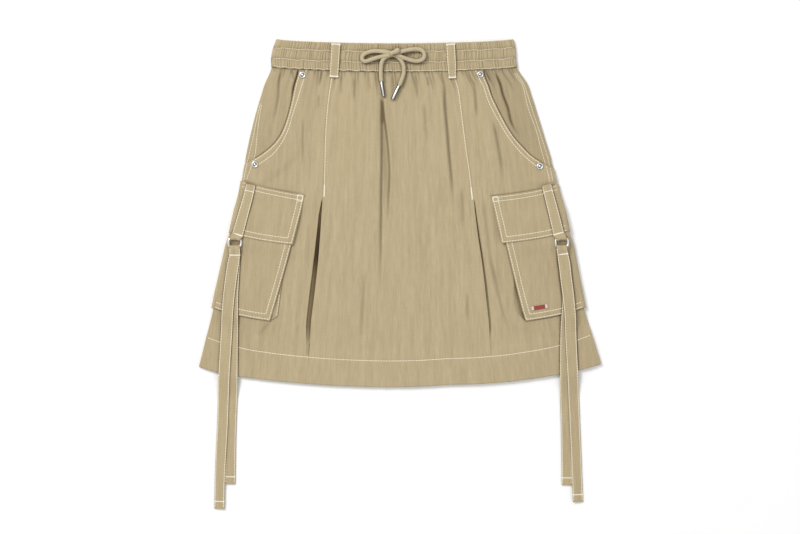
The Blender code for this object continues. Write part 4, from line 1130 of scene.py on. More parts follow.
def curled_panel(name, side, u, d, top, wall, low, reach, shade):
    """A panel from its outer edge, the first column, inwards. Four more columns turn down round that edge:
    x = edge + reach sin(a)^(1/2), and z falls from the panel's height to low as 1 - cos(a)."""
    angle = math.pi / 2 - np.radians([0, 22, 45, 68])
    x, y = place(u, d)
    high = top[:, :1]
    outer_z = high - (high - low) * (1 - np.cos(angle))
    inner_z = (np.maximum(outer_z - wall, low + 0.0002) + np.minimum(outer_z - 0.0002, high - wall)) / 2
    swing = side * reach * np.sqrt(np.sin(angle))
    turned_out = stack(x[:, :1] + swing, y[:, :1], outer_z)
    turned_in = stack(x[:, :1] + 0.25 * swing, y[:, :1], np.minimum(inner_z, high - wall))
    outer = np.concatenate([turned_out, stack(x, y, top)], axis=1)
    inner = np.concatenate([turned_in, stack(x, y, top - wall)], axis=1)
    grain = grain_of(np.concatenate([u[:, :1] + 0 * outer_z, u], axis=1), d)
    shade = np.concatenate([1 + 0 * outer_z, shade], axis=1)
    if side > 0:
        outer, inner, grain, shade = (part[:, ::-1] for part in (outer, inner, grain, shade))
    return shell(name, outer, inner, grain, shade=shade)


def make_front_side(side, name):
    """A side panel: a turned outer edge, the body, the lip of the pleat, the roll down and the underlay."""
    column = 1 if side < 0 else 2
    d = np.concatenate([rows_of(0.0, SKIRT_LENGTH, 200)[:, 0], np.linspace(0.118, 0.138, 12)])
    d = np.sort(d)[:, None]
    width = half_width(d)
    seam = curve(PLEAT, column, d) + side * GAP / width
    stand_off = np.maximum(np.interp(d, PLEAT[:, 0], PLEAT[:, column + 2]), LEAST_STAND_OFF) / width
    dips = smooth(PLEAT_OPENS - 0.001, PLEAT_OPENS + 0.008, d) * fade(*PLEAT_SHUTS, d)
    runs_under = within(0.170, 0.178, 0.338, 0.352, d)
    lip = seam + side * stand_off
    outer_edge = np.where(d < MOUTH_END, mouth(side, d), side)
    body = outer_edge + (lip - outer_edge) * spread(88, 0.45)
    foot = seam + side * PLEAT_STEEP[side] * stand_off
    under_edge = np.where(runs_under > 0.02, seam - side * runs_under * UNDERLAY_WIDTH / width,
                          seam + side * 0.08 * stand_off)
    u = np.concatenate([body, lip + (foot - lip) * ROLL, foot + (under_edge - foot) * RUN_IN], axis=1)
    fall = np.clip(ROLL**1.4 * (1 - 1.2 * (1 - ROLL) * ROLL), 0, 1)
    drop = np.concatenate([0 * body, dips * fall, dips + 0 * RUN_IN], axis=1)
    top = side_top(side, u, d)
    top = top + (front_floor(u, d) - top) * drop
    at_side = smooth(0.1315, MOUTH_END, d)
    low = (top[:, :1] - 0.0010) * (1 - at_side) + (CURL_LOW + back_lift(side, d)) * at_side
    reach = MOUTH_CURL * (1 - at_side) + CURL_REACH * at_side
    # Painted shade: the inside of an open pleat darkens with depth, and both its edges darken down to the hem.
    edges_show = within(PLEAT_OPENS, PLEAT_OPENS + 0.004, HEM_TOP - 0.007, HEM_TOP + 0.001, d)
    corner = np.concatenate([0 * body, 4 * ROLL * (1 - ROLL) + 0 * d, RUN_IN_SHADE + 0 * d], axis=1)
    inside = np.interp(d, UNDERLAY_SHADE[side][:, 0], UNDERLAY_SHADE[side][:, 1])
    shade = (1 - (1 - inside) * drop**0.7) * (1 - PLEAT_EDGE_SHADE[side] * corner * edges_show)
    return curled_panel(name, side, u, d, top, WALL + hem_layer(d), low, reach, shade * front_shade(u, d))


SIDES = {"left": -1, "right": 1}
front_sides = {word: make_front_side(side, f"side_panel_{word}") for word, side in SIDES.items()}
report(*front_sides.values())

# %% Hip facings
# Painted shadow along each hip-pocket mouth on the facing: the light left at the mouth's edge, the shadow's
# width, the extra width at the top of each mouth, the depths where it fades out, and painted shade over each
# whole facing.
MOUTH_DARK = 0.10
MOUTH_SHADOW = 0.0023
MOUTH_GAP = {-1: 0.0026, 1: 0.0006}
MOUTH_FADES = {-1: (.1180, .1250), 1: (.1240, .1310)}
FACING_DUSK = {-1: 0.95, 1: 0.91}


def make_hip_facing(side, name):
    """The piece inside a hip-pocket mouth, from the side edge to its hidden inner edge."""
    d = rows_of(0.0, FACING_FOOT, 92)
    u = side + (facing_edge(side, d) - side) * spread(60, 0.3)
    top = front_top(u, d)
    turned_down = fade(0.122, 0.130, d)
    low = CURL_LOW * turned_down + (top[:, :1] - 0.0010) * (1 - turned_down)
    reach = CURL_REACH * turned_down + 0.0001 * (1 - turned_down)
    # Painted shadow beside the mouth's edge, and painted shade over the whole facing.
    in_mouth = (u - mouth(side, d)) * side * half_width(d)
    shadow = MOUTH_SHADOW + MOUTH_GAP[side] * within(-0.004, 0.006, 0.022, 0.040, d)
    shade = 1 - (1 - MOUTH_DARK) * fade(0.25, 1.0, in_mouth / shadow) * fade(*MOUTH_FADES[side], d)
    shade = shade * FACING_DUSK[side] * front_shade(u, d)
    return curled_panel(name, side, u, d, top, WALL, low, reach, shade)


facings = {word: make_hip_facing(side, f"facing_{word}") for word, side in SIDES.items()}
report(*facings.values())

# %% Back panel
BACK_CREASES = [
    ([(-.42, .010), (-.40, .090), (-.43, .190)], .0030, .0006, 1),
    ([(-.22, .020), (-.23, .120), (-.20, .260)], .0034, .0007, -1),
    ([(.05, .004), (.07, .140), (.04, .240)], .0032, .0006, 1),
    ([(.26, .030), (.24, .110), (.27, .310)], .0036, .0007, 1),
    ([(.46, .010), (.44, .080)], .0028, .0006, -1),
    ([(-.08, .210), (-.06, .340)], .0034, .0006, -1),
    ([(.70, .010), (.72, .110)], .0030, .0006, 1),
    ([(-.72, .020), (-.70, .120)], .0030, .0006, -1),
]


def back_relief(u, d):
    """How far the back panel stands up from the surface in its creases and gathers: never down into it, and
    never as high as the front."""
    raised = sharp_creases(u, d, BACK_CREASES) + 0.8 * ripples(u, d) + 0.9 * np.abs(gathers(u, d)) - 0.0001
    flat_under = 1 - smooth(*BACK_HALF_U, np.abs(u)) * within(0.130, 0.150, 0.335, 0.350, d)
    return np.clip(raised * flat_under, 0, 0.6 * hollow(u, d))


def make_back_panel():
    """The back panel: one wall, thicker at the hem, whose face rests on the floor."""
    d = rows_of(0.0, SKIRT_LENGTH, 100)
    inset = 0.0008 / half_width(d)
    u = (1 - inset) * (2 * spread(126, 0.2) - 1)
    x, y = place(u, d)
    under = back_lift(u, d) + back_relief(u, d)
    return shell("back", stack(x, y, under + WALL + hem_layer(d)), stack(x, y, under), grain_of(u, d))


back = make_back_panel()
report(back)

# %% [markdown]
# ## The gathered waistband
#
# Wide elastic runs inside the waistband, and two rows of stitching divide it into three channels. When the
# elastic draws in, the cloth puffs up between the rows in short upright ribs that do not line up from one
# channel to the next. The ribs are 2 |cos| - 1 waves with an uneven spacing, each channel with its own. The
# band is one closed shell whose upper edge rolls over the elastic.

# %% Waistband
BAND_TOP = -0.0382
BAND_INSIDE = 0.0030
BAND_BACK = 0.0026
BAND_RIBS = 86
BAND_SEWN = (-0.0274, -0.0134)
BAND_ROLL_RADIUS = (BAND_OUTSIDE - BAND_INSIDE) / 2
RIB_RISE = 0.00058
BAND_HALF_CUT = 0.24
FOOT_WAVE = 0.0009
FOOT_WAVES = 12.5
# Each channel: how its ribs are shifted and how their spacing wanders.
CHANNELS = [(.10, .26, 23.0, .6), (.55, .30, 31.0, 2.2), (.30, .28, 27.0, 4.1)]


def rib_wave(u, d):
    """The ribs, from -1 in a valley to 1 on a ridge."""
    waves = []
    for shift, wander, pace, start in CHANNELS:
        phase = BAND_RIBS / 2 * u + shift + wander * np.sin(pace * u + start) + 0.15 * np.sin(2.7 * pace * u)
        phase = phase + d * 16 * np.sin(1.7 * pace * u + start)
        uneven = 0.72 + 0.28 * np.sin(1.9 * pace * u + 2 * start)
        waves.append(uneven * (2 * np.abs(np.cos(math.pi * phase)) ** 0.85 - 1))
    first = 1 - smooth(BAND_SEWN[0] - 0.0016, BAND_SEWN[0] + 0.0016, d)
    last = smooth(BAND_SEWN[1] - 0.0016, BAND_SEWN[1] + 0.0016, d)
    return waves[0] * first + waves[1] * (1 - first - last) + waves[2] * last


def foot_wave(u):
    """How far the band's foot draws up between its gathers: a - a cos, stronger on the left half."""
    strong = 0.45 + 0.55 * smooth(0.15, -0.05, u)
    return FOOT_WAVE * strong * (0.5 - 0.5 * wave(FOOT_WAVES * u + 0.35 * np.sin(9 * u)))


def band_end(edge, swing, low):
    """Four columns beyond an edge of the band: x = edge + swing sin(a), and z falls to low as 1 - cos(a)."""
    angle = np.radians([22, 45, 68, 90])
    x, y, z = edge.T[..., None]
    return stack(x + swing * np.sin(angle), y, z - (z - low) * (1 - np.cos(angle)))


def band_pinch(d):
    """1 under a row of stitching and 0 a few millimetres away."""
    return sum(bell(d - sewn, 0.0021) for sewn in BAND_SEWN)


def band_face(u, d):
    """The height of the waistband's outer face."""
    from_side = (1 - np.abs(u)) * half_width(d)
    share = (1 - 0.55 * band_pinch(d)) * (1 - 0.35 * smooth(-0.004, 0.0, d))
    share = share * smooth(BAND_TOP - 0.001, BAND_TOP + 0.003, d)
    fine = 0.00010 * wave(u * 0.165 / 0.0021 + 0.8 * np.sin(60 * u))
    side_roll = 0.0012 * np.exp(-from_side / 0.006)
    foot = 0.0010 * smooth(-0.0035, -0.0003, d)
    height = BAND_OUTSIDE - 0.0008 * band_pinch(d) - foot - side_roll
    return height + (RIB_RISE * rib_wave(u, d) + fine) * share * smooth(0.0, 0.004, from_side)


def make_waistband():
    """The front half: rows from the rolled top edge down the outer face, and down the inner face."""
    u = np.linspace(-1, 1, 700)[None]
    turn = np.radians([84, 62, 42, 24, 10])[:, None]
    radius = BAND_ROLL_RADIUS
    top_d = BAND_TOP + radius * (1 - np.sin(turn))
    face_d = rows_of(BAND_TOP + radius, -0.0003, 36, 0.2)
    middle = (BAND_OUTSIDE + BAND_INSIDE) / 2
    d = np.concatenate([top_d, face_d])
    d = d - foot_wave(u) * smooth(-0.009, -0.0003, d)
    start = band_face(u, face_d[:1] + 0 * u)
    over = middle + (start - middle) * np.cos(turn)
    outer_z = np.concatenate([over, band_face(u, face_d + 0 * u)])
    scallop = 0.00045 * rib_wave(u, 0 * u + BAND_TOP) * fade(BAND_TOP, BAND_TOP + 0.004, d)
    x, y = place(u, d)
    outer = stack(x, y + scallop, outer_z)
    inner_z = np.concatenate([middle - radius * np.cos(turn), np.full((36, 1), BAND_INSIDE)])
    inner = stack(x, y + scallop, inner_z)
    # Both ends turn down round the back half's ends.
    outer, inner = (np.concatenate([band_end(face[:, 0], -swing, low)[:, ::-1], face,
                                    band_end(face[:, -1], swing, low)], axis=1)
                    for face, swing, low in ((outer, 0.0016, 0.0006), (inner, 0.0004, 0.0008)))
    across = np.pad(u, ((0, 0), (4, 4)), mode="edge")
    d = np.pad(d, ((0, 0), (4, 4)), mode="edge")
    # Painted shade: darker in the ribs' valleys, along the rows of stitching and at the band's foot.
    deep = 0.62 + 0.38 * smooth(-0.95, 0.2, rib_wave(across, d))
    deep = deep * (1 - 0.22 * band_pinch(d)) * (1 - 0.35 * smooth(-0.0022, -0.0004, d + foot_wave(across)))
    return shell("waistband", outer, inner, stack(across * BAND_HALF_CUT, d), shade=deep)


waistband = make_waistband()


def make_back_band():
    """The back half rests on the surface: its ribs stand up from it as shallow grooves underneath."""
    d = rows_of(BAND_TOP + 0.0006, -0.0003, 14, 0.2)
    u = np.linspace(-0.996, 0.996, 300)[None]
    groove = 0.00045 * (1 - smooth(-1, 0.2, rib_wave(u, d))) * (1 - band_pinch(d) * 0.5)
    x, y = place(u, d)
    grain = stack(u * BAND_HALF_CUT, d)
    return shell("waistband_rear", stack(x, y, BAND_BACK), stack(x, y, groove), grain)


waistband_rear = make_back_band()
report(waistband, waistband_rear)

# %% [markdown]
# ## Cargo pockets and flaps
#
# Each cargo pocket sits across the side seam: half of it shows in front and half lies behind. So its face is
# one piece of cloth that lies on the front, turns round the side edge and comes back under the back panel.
# The flap does the same above it. Both have turned edges with two rows of topstitching, which show as a low
# roll at the edge and two grooves. Behind the face a pleated strip, the gusset, lets the pocket open out.

# %% Pocket sizes and faces
FLAP_TOP = 0.1585
POCKET_MOUTH = 0.2000
POCKET_FOOT = 0.3270
GUSSET_WIDTH = 0.018
TURN_REACH = 0.0015
POCKET_BULGE = 0.0026
EDGE_ROW = 0.0017
INNER_ROW = 0.0080
# How far each gusset's edge lies from the middle, by depth: hidden under the pocket's face at first, it comes
# out lower down and is cut off aslant at the foot.
POCKETS = {
    "left": {"sign": -1, "flap_foot": .2250, "flap_u": (.604, .637), "pocket_u": (.630, .698),
             "gusset": [(.204, .645), (.240, .660), (.262, .6655), (.275, .6665), (.286, .665), (.303, .664),
                        (.3195, .662), (.3255, .690)],
             "gusset_shade": (.60, .97, .0045),
             "head_rise": [(.60, .0010), (.64, .0016), (.78, .0033), (.93, .0041), (1.0, .0043)],
             "tab_u": (.945, .962), "ring": (-.2241, .0490)},
    "right": {"sign": 1, "flap_foot": .2226, "flap_u": (.585, .609), "pocket_u": (.621, .688),
              "gusset": [(.204, .632), (.240, .647), (.262, .6560), (.275, .6555), (.290, .647), (.303, .646),
                         (.3150, .654), (.3262, .684)],
              "gusset_shade": (.30, .80, .0075), "head_rise": [(.58, .0), (1.0, .0)],
              "tab_u": (.938, .946), "ring": (.2194, .0490)},
}


def between(pair, d, start, end):
    """A pair's first value at start, its second at end, and evenly between."""
    return pair[0] + (pair[1] - pair[0]) * (d - start) / (end - start)


def pocket_inner(spec, d):
    """u of the pocket's inner edge."""
    return between(spec["pocket_u"], d, POCKET_MOUTH, POCKET_FOOT)


def flap_inner(spec, d):
    """u of the flap's inner edge."""
    return between(spec["flap_u"], d, FLAP_TOP, spec["flap_foot"])


def flap_head(spec, u):
    """The depth of the flap's upper edge, which climbs a little towards the side."""
    rise = np.array(spec["head_rise"])
    return FLAP_TOP - np.interp(np.abs(u), rise[:, 0], rise[:, 1])


def turned_edge(t):
    """A sewn edge at t metres from it: rounded off at the very edge, grooved under both stitch rows, and
    slightly full between them."""
    rounding = 0.00045 * np.exp(-t / 0.00045)
    grooves = sum(bell(t - row, 0.00085) for row in (EDGE_ROW, INNER_ROW))
    return 0.00016 * bell(t - 0.0048, 0.0022) - rounding - STITCH_GROOVE * grooves


def pocket_under(u, d):
    """The pocket's inner face, one step above the front."""
    return front_top(u, d) + GAP + STEP


def pocket_full(spec, u, d):
    """The pocket's face stands a little fuller in its middle, with two soft dents."""
    in_side = (np.abs(u) - pocket_inner(spec, d)) * half_width(d)
    fill = smooth(0.002, 0.030, in_side) * fade(0.300, POCKET_FOOT, d)
    fill = fill * (1 - smooth(0.93, 1.0, np.abs(u)))
    dents = bell(np.abs(u) - 0.80 + 2.2 * (d - 0.27), 0.022) * smooth(0.240, 0.262, d)
    dents = dents + 0.7 * bell(np.abs(u) - 0.86 - 1.2 * (d - 0.25), 0.020)
    x = u * 0.24
    waves = 0.00010 * wave(x / 0.019 + 3 * d) + 0.00007 * wave(x / 0.011 - 9 * d)
    return fill * (0.0005 - 0.00035 * dents) + waves * smooth(0.002, 0.012, in_side)


def pocket_top(spec, u, d):
    """The pocket's outer face: its inner face, the wall, its fullness and its sewn edges."""
    t = np.minimum((np.abs(u) - pocket_inner(spec, d)) * half_width(d), POCKET_FOOT - d)
    return pocket_under(u, d) + WALL + pocket_full(spec, u, d) + turned_edge(np.maximum(t, 0))


def pocket_back(u, d):
    """The pocket's back half lies on the surface, and on the flap's back half at its mouth."""
    return STEP * fade(0.229, 0.246, d) + 0 * u


def flap_under(u, d):
    """The flap starts on the skirt at its seam and comes up over the pocket's mouth."""
    return front_top(u, d) + GAP + 2 * STEP * smooth(0.160, POCKET_MOUTH - 0.001, d)


def flap_top(spec, u, d):
    """The flap's outer face: its inner face, the wall, its fullness, waves and sewn edges."""
    t = np.minimum((np.abs(u) - flap_inner(spec, d)) * half_width(d), spec["flap_foot"] - d)
    t = np.minimum(t, d - flap_head(spec, u))
    x = u * 0.22
    waves = 0.00012 * wave(x / 0.023 + 5 * d + 0.2) + 0.00007 * wave(x / 0.013 - 7 * d)
    full = 0.0006 * smooth(0.165, 0.195, d) * (1 - smooth(0.93, 1.0, np.abs(u)))
    return flap_under(u, d) + WALL + full + waves * smooth(0.001, 0.010, t) + turned_edge(np.maximum(t, 0))


def flap_back(u, d):
    """The flap's back half lies on the resting surface."""
    return 0 * u + 0 * d


def pocket_rows_at(spec, u, d):
    """The pocket's rows stay level."""
    return d + 0 * u


def flap_rows_at(spec, u, d):
    """The flap's rows climb towards the side as its head does, and its foot stays level."""
    foot = spec["flap_foot"]
    return foot - (foot - d) * (foot - flap_head(spec, u)) / (foot - FLAP_TOP)


def pocket_reach(d):
    """The turn at the side stands out where the filled pocket bulges below its flap."""
    return TURN_REACH + POCKET_BULGE * smooth(0.222, 0.245, d) * (1 - 0.35 * smooth(0.305, 0.327, d))


def flap_reach(d):
    """The turn at the side stands out one step more where the pocket is under it."""
    return TURN_REACH + STEP * smooth(0.168, POCKET_MOUTH - 0.001, d)


# %% Walls that wrap round the side edge
# Painted shade that makes the pockets and flaps, near the side edges, a little darker all over.
WRAP_SHADE = 0.955


def wrapped(name, spec, d, edge, under, face, back_under, reach, rows_at):
    """A wall that lies on the front, turns half round the side edge and comes back under the back panel.

    Its front leg has the height of a given face, the turn is an ellipse x = edge + r sin(a), z = middle + h
    cos(a), and the back leg's outer face lies on the surface. Rows_at turns a row's depth into its depth at
    u.
    """
    side = spec["sign"]
    front_u = side * (edge + (1 - edge) * spread(72, 0.6))
    back_u = side * (1 + (edge - 1) * spread(22, 0.2))
    edge_u = side + 0 * d
    front_d, back_d, edge_d = (rows_at(spec, u, d) for u in (front_u, back_u, edge_u))
    angle = np.radians(np.arange(15, 180, 15))
    edge_x, edge_y = place(edge_u, edge_d)
    top = face(spec, front_u, front_d)
    inside = np.minimum(under(front_u, front_d), top - 0.0005)
    grids = []
    for outside, level, high in ((0, inside, under(edge_u, edge_d)), (1, top, top[:, -1:])):
        low = back_under(edge_u, edge_d) + (1 - outside) * WALL
        swing = side * (reach(edge_d) + outside * WALL)
        middle, rise = (high + low) / 2, (high - low) / 2
        turn = stack(edge_x + swing * np.sin(angle), edge_y, middle + rise * np.cos(angle))
        behind = back_under(back_u, back_d) + (1 - outside) * WALL
        grids.append(np.concatenate([stack(*place(front_u, front_d), level), turn,
                                     stack(*place(back_u, back_d), behind)], axis=1))
    inner, outer = grids
    run = np.cumsum(np.linalg.norm(np.diff(outer, axis=1, prepend=outer[:, :1]), axis=-1), axis=1)
    grain = stack(grain_of(front_u[:, :1], d)[..., 0] + side * run, d)
    if side < 0:
        inner, outer, grain = inner[:, ::-1], outer[:, ::-1], grain[:, ::-1]
    return shell(name, outer, inner, grain, shade=WRAP_SHADE)


pockets, flaps, gussets = {}, {}, {}
for word, spec in POCKETS.items():
    d = rows_of(POCKET_MOUTH, POCKET_FOOT, 98, 0.6)
    pockets[word] = wrapped(f"pocket_face_{word}", spec, d, pocket_inner(spec, d), pocket_under, pocket_top,
                            pocket_back, pocket_reach, pocket_rows_at)
    d = rows_of(FLAP_TOP, spec["flap_foot"], 66, 0.6)
    flaps[word] = wrapped(f"flap_{word}", spec, d, flap_inner(spec, d), flap_under, flap_top, flap_back,
                          flap_reach, flap_rows_at)
report(*pockets.values(), *flaps.values())


# %% Gussets
def gusset_lines(spec, count):
    """The gusset's outer and inner line as (u, d): down beside the pocket, then along under its foot."""
    table = np.array(spec["gusset"])
    start, turn, end = table[[0, -2, -1], 0]
    side_d = np.concatenate([np.linspace(start, turn, count), np.linspace(turn, end, 14)[1:]])
    outer_u = np.interp(side_d, table[:, 0], table[:, 1])
    foot_u = np.linspace(outer_u[-1] + 0.01, 0.985, 50)
    foot_d = np.minimum(side_d[-1] + 0.0016 * np.linspace(0, 4, 50), POCKET_FOOT + 0.0005)
    outer = np.concatenate([stack(outer_u, side_d), stack(foot_u, foot_d)])
    inner_u = np.interp(side_d, table[:-1, 0], table[:-1, 1]) + GUSSET_WIDTH / half_width(side_d)
    share = (side_d - side_d[0]) / (side_d[-1] - side_d[0])
    inner_d = np.minimum(side_d, POCKET_FOOT - GUSSET_WIDTH * share)
    foot_in = np.maximum(foot_u, inner_u[-1] + np.linspace(0.0005, 0.02, 50))
    foot_in = np.minimum(np.sort(foot_in), 0.987)
    inner = np.concatenate([stack(inner_u, inner_d), stack(foot_in, inner_d[-1])])
    return outer, inner


def gusset_top(u, d):
    """The gusset's outer face, one wall above the front."""
    return front_top(u, d) + GAP + WALL


def make_gusset(word, spec):
    """A strip under the pocket's inner side and foot, mitred at the corner, with painted shade that deepens
    towards the pocket's face."""
    outer, inner = gusset_lines(spec, 100)
    share = np.array([0, 0.025, 0.07, 0.13, 0.22, 0.5, 1])[:, None]
    grid = outer[:, None] * (1 - share) + inner[:, None] * share
    u, d = spec["sign"] * grid[..., 0], grid[..., 1]
    from_face = (pocket_inner(spec, d) - np.abs(u)) * half_width(d)
    near, far, reach = spec["gusset_shade"]
    shade = near + (far - near) * smooth(0.0003, reach, from_face)
    if spec["sign"] > 0:
        u, d, shade = u[:, ::-1], d[:, ::-1], shade[:, ::-1]
    top = gusset_top(u, d)
    x, y = place(u, d)
    return shell(f"gusset_{word}", stack(x, y, top), stack(x, y, top - WALL), grain_of(u, d), shade=shade)


for word, spec in POCKETS.items():
    gussets[word] = make_gusset(word, spec)
report(*gussets.values())

# %% [markdown]
# ## Tabs, straps and belt loops
#
# These are narrow strips, folded double and stitched along both edges. A strip is a flat rounded profile
# carried along a path: two thin grooves on each face mark the stitching, and its edges are round. The tab
# runs down the flap and loops round the bar of the D-ring. The strap is one strip folded through the ring,
# and its two tails hang down over the pocket.

# %% Profile of a strip
TAB_STATIONS = 46
TAB_WIDTH = np.concatenate([np.linspace(0.0134, 0.0156, TAB_STATIONS), [0.0152], np.full(17, 0.0136)])
STRAP_WIDTH = 0.0139
LOOP_WIDTH = 0.0126
LOOP_WALL = 0.0015
EDGE_SEWN = 0.0012
# Painted shade at a strip's edges: the light left there.
EDGE_SHADE = 0.42


def strip_profile(width, wall):
    """Half the height of a strip at places across it: an ellipse at the edges, a groove under the
    stitches."""
    across = np.array([0, 0.00012, 0.0004, 0.0008, EDGE_SEWN, 0.0018, 0.0024, 0.0031, 0.0042])
    rise = np.array([0.0, 0.42, 0.76, 0.92, 0.80, 0.97, 1.00, 1.04, 1.05]) * wall / 2
    across = np.concatenate([across, [width / 2], (width - across)[::-1]]) - width / 2
    return across, np.concatenate([rise, [wall / 2 * 1.06], rise[::-1]])


def ribbon(name, centres, across, width, wall, thick=None, edge_shade=None):
    """The strip's profile carried along its centres. A point is centre + across * offset * width share +
    normal * rise * thickness share, where the width and the thickness may change along the way."""
    ahead = unit(np.gradient(centres, axis=0))
    across = unit(across - ahead * (across * ahead).sum(axis=1, keepdims=True))
    normal = np.cross(across, ahead)
    ones = np.ones(len(centres))
    thick = ones if thick is None else thick
    widths = width * ones
    offset, rise = strip_profile(widths.max(), wall)
    loop_offset = np.concatenate([offset, offset[-2:0:-1]])
    loop_rise = np.concatenate([rise, -rise[-2:0:-1]])
    share = widths / widths.max()
    points = (centres[:, None] + across[:, None] * (loop_offset * share[:, None])[..., None]
              + normal[:, None] * (loop_rise * thick[:, None])[..., None])
    in_from = widths.max() / 2 - np.abs(loop_offset)
    # Painted shade along both edges of the strip.
    edges = EDGE_SHADE * ones if edge_shade is None else edge_shade
    shade = 1 - (1 - edges[:, None]) * fade(0.0002, 0.0008, in_from)
    grain = stack(loop_offset, run_of(centres)[:, None])
    return add_mesh(name, points.reshape(-1, 3), capped(ring_numbers(len(centres), len(loop_offset))),
                    grain.reshape(-1, 2), CLOTH, shade.ravel(), sharp=75)


def highest(height, x, y, reach):
    """The greatest height in a small square round each point."""
    steps = np.linspace(-reach, reach, 7)
    step_x, step_y = np.meshgrid(steps, steps)
    u, d = find(np.asarray(x)[..., None, None] + step_x, np.asarray(y)[..., None, None] + step_y)
    return height(u, d).max(axis=(-1, -2))


def evened(values, reach):
    """The mean of each value and its neighbours up to a reach on both sides."""
    count = 2 * reach + 1
    return np.convolve(np.pad(values, reach, mode="edge"), np.ones(count) / count, mode="valid")


# %% D-rings
RING_WIRE = 0.0020
RING_WIDTH = 0.0189
RING_HEIGHT = 0.0152
RING_CORNER = 0.0064
RING_BAR_CORNER = 0.0045
RING_SHOWN_WIRE = 0.0027


def ring_height(spec):
    """The height of the D-ring's wire: over the strap's lower leg, which lies on the pocket."""
    x, y = spec["ring"]
    xs, ys = np.meshgrid(x + np.array([-0.008, 0.0, 0.008]), y - np.array([-0.004, 0.004, 0.012]))
    pocket = float(highest(pocket_under, xs, ys, 0.002).max()) + WALL
    return pocket + STEP + GAP + RING_WIRE / 2


def make_ring(word, spec):
    """A wire D: a straight bar at the top with tight corners, and wide corners below."""
    x, y = spec["ring"]
    half = (RING_WIDTH - RING_WIRE) / 2
    drop = RING_HEIGHT - RING_WIRE
    corners = [(half, 0, RING_BAR_CORNER, 0), (-half, 0, RING_BAR_CORNER, 90),
               (-half, -drop, RING_CORNER, 180), (half, -drop, RING_CORNER, 270)]
    arcs = []
    for corner_x, corner_y, radius, start in corners:
        turn = np.radians(np.linspace(start, start + 90, 12))
        centre_x = corner_x - math.copysign(radius, corner_x)
        centre_y = corner_y - radius if corner_y == 0 else corner_y + radius
        arcs.append(stack(x + centre_x + radius * np.cos(turn), y + centre_y + radius * np.sin(turn),
                          ring_height(spec)))
    path = np.concatenate(arcs)
    return ring_tube(f"d_ring_wire_{word}", path, RING_SHOWN_WIRE / 2, METAL, 16)


rings = {word: make_ring(word, spec) for word, spec in POCKETS.items()}
report(*rings.values())

# %% Tabs
TAB_TOP = 0.1552


def tab_bed(spec, u, d):
    """What a tab lies on: its flap, and the side panel above the flap's head."""
    return np.where(d < flap_head(spec, u) - 0.0004, side_top(spec["sign"], u, d), flap_top(spec, u, d))


def tab_route(spec):
    """Centres and widths' direction of a tab: down the flap, round the bar and back under it."""
    ring_x, ring_y = spec["ring"]
    bar_z = ring_height(spec)
    d = np.linspace(TAB_TOP, spec["flap_foot"] - 0.0005, TAB_STATIONS)
    x, y = place(spec["sign"] * between(spec["tab_u"], d, FLAP_TOP, spec["flap_foot"]), d)
    lies = evened(highest(lambda u, d: tab_bed(spec, u, d), x, y, 0.0045), 2)
    route = stack(x, y, lies + GAP + WALL / 2)
    radius = RING_WIRE / 2 + GAP + WALL / 2
    turn = np.radians(np.linspace(90, -90, 15))
    loop = stack(ring_x, ring_y - radius * np.cos(turn), bar_z + radius * np.sin(turn))
    lead = np.array([(ring_x + (x[-1] - ring_x) * 0.30, ring_y + 0.0014, bar_z + radius)])
    tail = np.array([(ring_x, ring_y + 0.0012, bar_z - radius), (ring_x, ring_y + 0.0025, bar_z - radius)])
    centres = np.concatenate([route, lead, loop, tail])
    slant_x, slant_y = x[0] - x[-1], y[0] - y[-1]
    straight = len(loop) + len(tail)
    across = [(slant_y, -slant_x, 0)] * TAB_STATIONS + [(slant_y, -slant_x / 2, 0)] + [(1, 0, 0)] * straight
    return centres, unit(np.array(across, float))


tab_routes = {word: tab_route(spec) for word, spec in POCKETS.items()}
tabs = {word: ribbon(f"tab_{word}", *tab_routes[word], TAB_WIDTH, WALL) for word in POCKETS}
report(*tabs.values())

# %% Straps
STRAP_SLOPE = 0.22
# Painted shade at a strap's edges, the light left where it lies on the cloth.
STRAP_EDGE_SHADE = 0.22
STRAP_FOLD_AHEAD = 0.0030
STRAP_LEVEL_BELOW = 0.0035
STRAP_FREE_BELOW = 0.0075
TURNING_RISE = 0.30
END_ROUNDING = 0.35
# Each strap's two tails as places in x and y, and its width by distance below the ring.
STRAPS = {
    "left": {"over": [(-.2241, .0262), (-.2266, .0120), (-.2313, -.0214), (-.2366, -.0962),
                      (-.2396, -.1490), (-.2418, -.2093), (-.2448, -.2694), (-.2461, -.3194)],
             "under": [(-.2241, .0262), (-.2252, .0126), (-.2265, -.0078), (-.2277, -.0350),
                       (-.2278, -.0622), (-.2281, -.0893), (-.2286, -.1490), (-.2306, -.2093),
                       (-.2315, -.2859)],
             "width": [(.000, .0152), (.006, .0162), (.012, .0168), (.120, .0165), (.220, .0154),
                       (.320, .0142)]},
    "right": {"over": [(.2208, .0276), (.2232, .0130), (.2249, -.0019), (.2282, -.0279),
                       (.2308, -.0540), (.2326, -.0962), (.2350, -.1400), (.2424, -.3102)],
              "under": [(.2208, .0276), (.2238, .0050), (.2262, -.0150), (.2281, -.0350),
                        (.2265, -.0622), (.2255, -.0893), (.2251, -.1300), (.2256, -.1710),
                        (.2266, -.2118), (.2272, -.2525), (.2275, -.2874)],
              "width": [(.000, .0152), (.006, .0162), (.012, .0166), (.130, .0160), (.220, .0147),
                        (.320, .0142)]},
}


